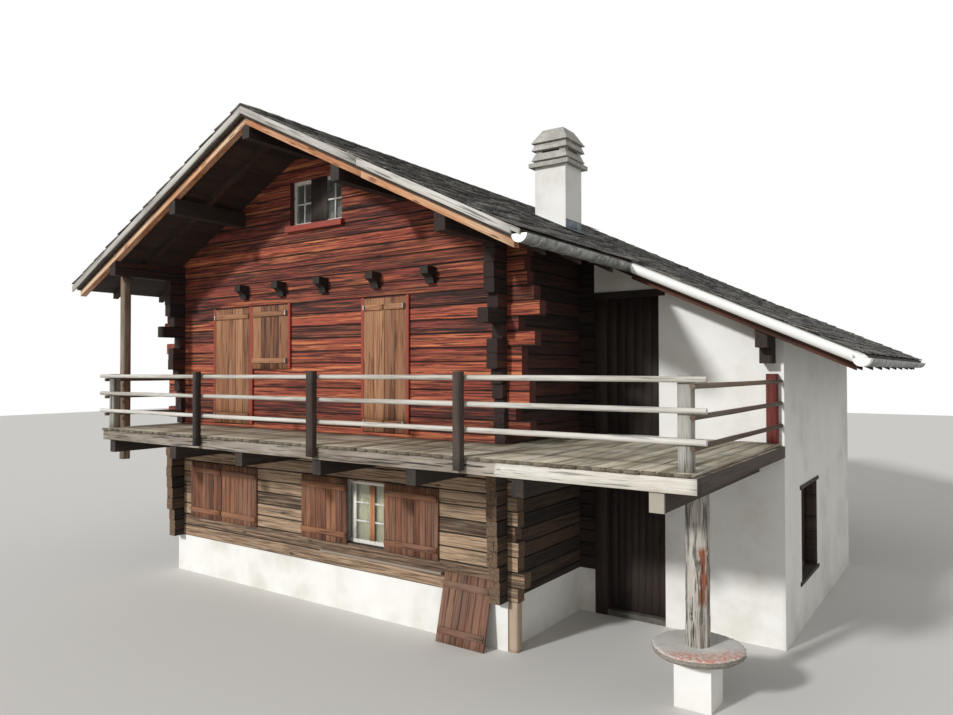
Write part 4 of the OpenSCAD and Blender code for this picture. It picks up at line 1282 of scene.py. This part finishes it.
        # the right side board is near black: painted shade on the deck's side
        umber = Timber("umber_larch_side_board_painted_shade", "#150F0C", "#31251E", "#4C3C32", "#483E36").build()
        lay("dark_side_board", board, umber, slot="grey_boards")

    def build(self) -> None:
        """Builds the deck and its railing, and dresses the joists."""
        self.deck()
        self.rails()
        self.posts()
        self.fascias()
        joist = Timber("weathered_deck_joists", "#4A3F35", "#95887A", "#BBB0A1", "#C2BAAD",
                       grain=Grain.ALONG_X, board=0.4, check=0.9).build()
        dress(joist, "deck_joists")


@dataclass
class MushroomPost:
    """Round trunk on a rough stone disc, the hung post and the corner prop. Sizes in metres."""

    palette: Palette
    x: float = 2.48
    y: float = -0.09
    disc_low: float = 0.545
    disc_top: float = 0.635
    disc_radius: float = 0.5
    trunk_radius: float = 0.1325
    trunk_top: float = 2.26
    knots: tuple[tuple[float, float], ...] = (
        (-1.2, 0.56), (-0.25, 0.62), (-2.5, 0.3), (-1.8, 0.2), (1.6, 0.45))

    def turned(self, radius: Array, angle: Array, height: Array) -> Array:
        """Gives rings round the post's own axis: (x + r cos a, y + r sin a, z)."""
        return points(self.x + radius * np.cos(angle), self.y + radius * np.sin(angle), height)[None]

    def trunk(self) -> None:
        """Turns the trunk and carries the hung post and the prop.

        Radius = r (0.94 + ridges that wander up the trunk + small waves + one bell-shaped bump a knot).
        """
        t = np.linspace(0, 1, 90)[:, None]
        a = angles(96)
        drift = 0.5 * np.sin(7 * t) + 0.25 * np.sin(19 * t + 1)
        ridge = 0.02 * np.sin(11 * a + drift) + 0.014 * np.abs(np.sin(9 * a - 1.5 * drift))
        wave = 0.014 * np.sin(17 * t + 2 * a) + 0.01 * np.cos(5 * t) + 0.008 * np.sin(41 * t + a)
        radius = self.trunk_radius * (0.94 + ridge + 0.01 * np.sin(4 * a + 5 * t) + wave)
        for angle, level in self.knots:
            turn = np.mod(a - angle + math.pi, 2 * math.pi) - math.pi
            radius = radius + 0.014 * np.exp(-(turn / 0.2) ** 2 - ((t - level) / 0.02) ** 2)
        rings = self.turned(radius, a, self.disc_top + t * (self.trunk_top - self.disc_top))
        grey = SilveredTrunk("silvered_larch_trunk", "#6A6259", "#A8A197", "#D3CDC3", "#C6C0B6", 0.4,
                             Grain.ALONG_Z, check=0.95, heart_at=(self.x + 0.05, 1.05, 1.72)).build()
        lay("round_trunk", rings, grey, slot="dark_timber", stands_for=["support_posts"], smooth=True)
        start = np.array([[-7.08, -1.04, 2.09], [0.07, 0.075, 0.0]])
        end = np.array([[-7.08, -1.04, 5.198], [0.07, 0.075, 0.634]])
        posts = carried(start, end, X, Y, box_outline(0.13, 0.13, 0.014), 12, 0.002, 41)
        prop = Timber("weathered_larch_props", "#3B2C22", "#7D6450", "#A58C74", "#A0968A").build()
        prop = part_coloured(prop, [(0, 0.0, True)], "#DCC5AB", "MIX", 0.5)
        lay("hung_post_and_prop", posts, prop, slot="dark_timber")

    def disc(self) -> None:
        """Turns the stone disc: its rim's radius wanders with the angle, and layers show on the edge."""
        a = angles(144)
        share = np.array([0.02, 0.5, 0.9, 0.975, 1.0, 0.985, 1.0, 0.97, 0.9, 0.5, 0.02])[:, None]
        height = np.array([1.0, 1.0, 0.995, 0.95, 0.8, 0.6, 0.45, 0.2, 0.0, 0.0, 0.0])[:, None]
        wander = 0.968 + 0.012 * np.sin(3 * a + 0.6) + 0.008 * np.sin(7 * a + 1.9) + 0.005 * np.sin(17 * a)
        rim = wander + 0.012 * np.sin(31 * a + 9 * height) + 0.009 * np.sin(47 * a - 14 * height)
        radius = self.disc_radius * share * np.where(share > 0.9, rim, 1.0)
        dip = 0.02 * (share > 0.85) * np.abs(np.sin(5 * a + 2)) * height
        rings = self.turned(radius, a, self.disc_low + (self.disc_top - self.disc_low) * (height - dip))
        gneiss = LichenedGneiss("split_gneiss_disc", "#C4C0B9", "#E4E1DA", "#F4F2ED", "#77726A", 0.12, 90.0,
                                0.008, middle=(self.x, self.y, 0.59)).build()
        lay("gneiss_disc", rings, gneiss, tones=np.array([0.6]), slot="grey_stone",
            stands_for=["mushroom_stone"], smooth=True)

    def build(self) -> None:
        """Builds trunk, posts and disc."""
        self.trunk()
        self.disc()


@dataclass
class Joinery:
    """Shutters, casings, windows, doors and the plank hatch.

    Sizes in metres. A leaf is left, width and, above the terrace, sill and height. A pane is left, right,
    low and high edge, columns and rows.
    """

    palette: Palette
    ground_leaves: tuple[tuple[float, float], ...] = (
        (-6.68, 0.865), (-5.80, 0.91), (-3.81, 0.98), (-2.08, 0.98))
    upper_leaves: tuple[tuple[float, float, float, float], ...] = (
        (-5.99, 0.915, 2.70, 1.94), (-5.0, 0.87, 3.62, 1.03), (-2.48, 0.402, 2.70, 1.94),
        (-2.072, 0.402, 2.70, 1.94))
    panes: tuple[tuple[float, float, float, float, int, int], ...] = (
        (-3.665, -2.95, 1.073, 1.893, 1, 3), (-2.74, -2.475, 1.073, 1.893, 1, 3),
        (-2.365, -2.165, 1.073, 1.893, 1, 3), (-4.06, -3.705, 5.945, 6.565, 2, 2),
        (-3.375, -3.02, 5.945, 6.565, 2, 2))
    ledge_in: float = 0.1325
    bar_y: float = 0.104
    brown_from_x: float = 1.5
    gap: float = 0.004
    leaf_y: float = -0.016
    ledge_y: float = -0.043
    ground_leaf: tuple[float, float] = (0.998, 0.97)

    def leaf(self, x: float, z: float, wide: float, high: float, boards: int) -> tuple[Array, Array]:
        """Carries one leaf's upright boards and its two ledges.

        Args:
            x: left edge.
            z: lower edge.
            wide: width.
            high: height.
            boards: number of boards.

        Returns:
            Rings of the boards and of the ledges.
        """
        step = wide / boards
        planks = upright(x + step * (np.arange(boards) + 0.5), self.leaf_y, z, high,
                         box_outline(step - self.gap, 0.03, 0.004), 6, 0.001, boards)
        start = points(x + 0.015, self.ledge_y, np.array([z + self.ledge_in, z + high - self.ledge_in]))
        ledges = carried(start, start + X * (wide - 0.03), Z, Y, box_outline(0.085, 0.022, 0.006), 6, 0.001,
                         boards + 1)
        return planks, ledges

    def shutters(self) -> None:
        """Builds all the leaves: tan above the terrace, red-brown below it."""
        upper = [self.leaf(x, z, w, h, max(2, round(w / 0.2))) for x, w, z, h in self.upper_leaves]
        sill, high = self.ground_leaf
        lower = [self.leaf(x, sill, w, high, max(4, round(w / 0.11))) for x, w in self.ground_leaves]
        tan = Timber("tanned_larch_shutters", "#4A2A1B", "#94603F", "#C08C63", "#A97C5A", 0.35).build()
        brown = Timber("brown_stained_shutters", "#472A1D", "#835036", "#A8744F", "#90705A", 0.25).build()
        storeys = (("upper", upper, tan, ["shutters"]), ("lower", lower, brown, ()))
        for storey, leaves, finish, nodes in storeys:
            boards, ledges = (np.concatenate(part) for part in zip(*leaves))
            lay(f"{storey}_shutter_boards", boards, finish, slot="brown_boards", stands_for=nodes)
            lay(f"{storey}_shutter_ledges", ledges, finish, slot="brown_boards")
        knuckles = np.array([[x + (0.03 if i % 2 == 0 else w - 0.03), -0.066, z + dz]
                             for i, (x, w, z, h) in enumerate(self.upper_leaves)
                             for dz in (self.ledge_in, h - self.ledge_in)])
        pins = carried(knuckles - Z * 0.035, knuckles + Z * 0.035, X, Y, round_outline(0.014, 10))
        lay("shutter_hinge_knuckles", pins, self.palette.zinc, slot="forged_iron", smooth=True)

    def doors(self) -> None:
        """Boards the hinged ground door, the upper door and the post beside them."""
        dark_wood = ("#120C0A", "#241913", "#37281F", "#2F2620")
        dark = Timber("dark_stained_door_boards", *dark_wood).build()
        low, top = 0.108, 0.8 / 6
        rows = (("ground_door_boards", 0.458 + low * (np.arange(8) + 0.5), 2.1275, 0.09, 1.88,
                 (low - self.gap, 0.008, 0.003), (4, 0.0, 51), Body.DOOR, "brown_boards"),
                ("upper_door_boards", 0.45 + top * (np.arange(6) + 0.5), 2.097, 2.66, 1.97,
                 (top - self.gap, 0.01, 0.004), (4, 0.0, 52), Body.HOUSE, "brown_boards"),
                ("door_post_face", 0.3525, 2.024, 0.0, 4.63, (0.193, 0.012, 0.004), (10, 0.001, 53),
                 Body.HOUSE, "dark_timber"))
        for name, x, y, foot, high, section, path, body, slot in rows:
            lay(name, upright(x, y, foot, high, box_outline(*section), *path), dark, body, slot=slot)
        own = Timber("dark_stained_door", *dark_wood, grain=Grain.ALONG_Z).build()
        dress(own, "ground_door", "upper_door")
        dress(self.palette.iron, "ground_door_pintles")

    def hatch(self) -> None:
        """Carries the leaning hatch's boards and ledges along its own slope."""
        lean = math.radians(14)
        up = Y * math.sin(lean) + Z * math.cos(lean)
        out = Z * math.sin(lean) - Y * math.cos(lean)
        thick, high, wide, boards = 0.03, 0.9, 0.11, 7
        foot = points(-0.985, -high * math.sin(lean) - thick * math.cos(lean), thick * math.sin(lean))
        base = foot - out * (thick / 2)
        start = base + (np.arange(boards) + 0.5)[:, None] * wide * X
        outline = box_outline(wide - self.gap, thick, 0.004)
        planks = carried(start, start + up * high, X, out, outline, 6, 0.0, 61)
        start = base + X * 0.02 + np.array([[0.155], [0.745]]) * up + out * 0.026
        ledges = carried(start, start + X * 0.73, up, out, box_outline(0.09, 0.022, 0.006), 6, 0.0, 62)
        brown = Timber("brown_stained_hatch", "#523629", "#7D5541", "#976F58", "#8A705F", 0.3).build()
        lay("hatch_boards", planks, brown, slot="brown_boards", stands_for=["plank_hatch"])
        lay("hatch_ledges", ledges, brown, slot="brown_boards")

    def curtains(self) -> None:
        """Hangs the pale curtains that show behind the casement, as upright ribbons 3 mm thick.

        A ribbon's outline is y = 5 mm times the sine of x over 13 mm along its front, and the same line
        3 mm further in along its back.
        """
        x = np.linspace(-0.16, 0.16, 61)
        fold = 0.005 * np.sin(x / 0.013)
        outline = np.concatenate([np.stack([x, fold], axis=1), np.stack([x, fold + 0.003], axis=1)[::-1]])
        cloth = OilPaint("washed_cotton_cloth", "#F4E6C0", "#E4D3A6", 0.95).build()
        lay("casement_curtains", upright((-2.64, -2.27), 0.146, 1.05, 0.86, outline), cloth,
            slot="white_painted_timber")

    def sashes(self, finish: Material) -> None:
        """Divides the shown panes with glazing bars, the casement's leaves in three, the attic's in four.

        A bar is a strip 26 mm wide and 20 mm deep that stands before the glass. The ground storey's
        casement also gets the white stile and the ochre meeting stiles that show between its open shutters.

        Args:
            finish: the bars' and the stile's material.
        """
        bars = []
        for left, right, low, high, columns, rows in self.panes:
            for i in range(1, columns):
                x = left + (right - left) * i / columns
                bars.append(([x, self.bar_y, low], [x, self.bar_y, high], X))
            for i in range(1, rows):
                z = low + (high - low) * i / rows
                bars.append(([left, self.bar_y, z], [right, self.bar_y, z], Z))
        start, end, across = (np.array(part) for part in zip(*bars))
        rings = carried(start, end, across, Y, box_outline(0.026, 0.02, 0.004))
        lay("glazing_bars", rings, finish, slot="white_painted_timber")
        low, high = self.panes[0][2], 0.82
        stile = upright(-2.785, self.bar_y, low, high, box_outline(0.09, 0.026, 0.004))
        lay("casement_stile", stile, finish, slot="white_painted_timber")
        stiles = upright((-2.446, -2.394), self.bar_y - 0.004, low, high, box_outline(0.048, 0.03, 0.006), 4)
        ochre = OilPaint("ochre_oil_paint", "#B98159", "#916247").build()
        lay("casement_meeting_stiles", stiles, ochre, slot="brown_boards")

    def windows(self) -> None:
        """Paints the frames, glazes the windows and dresses casings and sills."""
        white = ("#DEDCD4", "#9A9080")
        frames = OilPaint("white_and_brown_oil_paint", *white).build()
        dress(part_coloured(frames, [(0, self.brown_from_x, True)], "#2A1C15", "MIX", 0.95), "window_frames")
        self.sashes(OilPaint("white_oil_paint", *white).build())
        self.curtains()
        dark = self.palette.dark_timber
        cover = upright(-3.54, 0.084, 5.89, 0.73, box_outline(0.36, 0.012, 0.003), 4)
        lay("attic_window_cover_board", cover, dark, slot="dark_timber")
        start = points(2.744, (3.026, 4.124), 1.29)
        lining = carried(start, start + X * 0.176, Y, Z, box_outline(0.012, 1.278, 0.002), 4)
        lay("annex_window_lining", lining, dark, slot="dark_timber")
        dress(WindowGlass().build(), "window_glass")
        red = OilPaint("red_oil_paint", "#8E3420", "#5A3A2C").build()
        dress(part_coloured(red, [(2, 2.0, False)], "#8C8274", "MIX", 0.95), "casings_and_sills")
        # the annex timbers take the near-black beam finish with its painted shade
        dress(self.palette.dark_beam_painted_shade, "annex_timbers")

    def build(self) -> None:
        """Builds shutters, doors, hatch and windows."""
        self.shutters()
        self.doors()
        self.hatch()
        self.windows()


@dataclass
class Studio:
    """Camera at the photograph's place, pale floor and soft light. Sizes in metres and degrees."""

    eye: tuple[float, float, float] = (5.093, -8.042, 3.592)
    yaw: float = 34.72
    pitch: float = 0.98
    roll: float = 0.10
    focal_px: float = 740.4
    picture_width_px: int = 953
    sun_way: tuple[float, float, float] = (0.29, 1.0, -0.48)
    floor_reach: float = 60.0

    def shown(self, name: str, data: Any) -> bpy.types.Object:
        """Puts a camera, lamp or mesh in the scene.

        Args:
            name: the object's name.
            data: the camera, lamp or mesh.

        Returns:
            The object.
        """
        thing = bpy.data.objects.new(name, data)
        bpy.context.collection.objects.link(thing)
        return thing

    def camera(self) -> None:
        """Adds the camera: lens = 36 mm times the focal length in pixels over the picture's width."""
        data = bpy.data.cameras.new("photo_camera")
        data.sensor_width = 36.0
        data.lens = 36.0 * self.focal_px / self.picture_width_px
        data.clip_end = 200.0
        seat = self.shown("photo_camera", data)
        seat.location = self.eye
        seat.rotation_euler = Euler(np.radians([90 + self.pitch, self.roll, self.yaw]))
        bpy.context.scene.camera = seat

    def floor(self) -> None:
        """Adds the pale floor, a flat grid of one face, as stage."""
        mesh = bpy.data.meshes.new("studio_floor")
        far = self.floor_reach
        mesh.from_pydata([(-far, -far, 0), (far, -far, 0), (far, far, 0), (-far, far, 0)], [], [(0, 1, 2, 3)])
        paper = Shading.new("matt_studio_paper", 1.0)
        paper.feed(Base_Color=linear("#DAD8D4"), Specular_IOR_Level=0.0)
        mesh.materials.append(paper.material)
        self.shown("studio_floor", mesh)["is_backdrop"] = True

    def light(self) -> None:
        """Adds a broad sun from the front left and an even world that shows white to the camera."""
        lamp = bpy.data.lights.new("key", "SUN")
        lamp.energy = 2.5
        lamp.angle = math.radians(5)
        self.shown("key", lamp).rotation_euler = Vector(self.sun_way).to_track_quat("-Z", "Y").to_euler()
        world = bpy.data.worlds.new("studio_world")
        world.use_nodes = True
        tree = world.node_tree
        back = next(n for n in tree.nodes if n.type == "BACKGROUND")
        rays = add(tree, "LightPath").node.outputs
        seen = add(tree, "Math", (rays["Is Glossy Ray"], rays["Is Transmission Ray"]), operation="MAXIMUM")
        seen = add(tree, "Math", (rays["Is Camera Ray"], seen), operation="MAXIMUM")
        tree.links.new(add(tree, "MapRange", {0: seen, 3: 0.52, 4: 1.0}), back.inputs["Strength"])
        back.inputs["Color"].default_value = (1.0, 1.0, 1.0, 1.0)
        bpy.context.scene.world = world

    def build(self) -> None:
        """Sets the stage and the plain view transform."""
        self.camera()
        self.floor()
        self.light()
        bpy.context.scene.view_settings.view_transform = "Standard"


def main() -> None:
    """Builds the stage and every sub-assembly."""
    logging.basicConfig(level=logging.INFO, format="%(name)s: %(message)s")
    Studio().build()
    palette = Palette()
    for part in (LogBlock(palette), Masonry(palette), Roof(palette), Chimney(palette), Terrace(palette),
                 MushroomPost(palette), Joinery(palette)):
        part.build()
        LOG.info("built %s", type(part).__name__)
    bpy.context.view_layer.update()
    boxes = {name: [list(map(float, corner)) for corner in box]
             for name, box in (("cad", CAD_BOX), ("visual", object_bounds()))}


if __name__ == "__main__":
    main()
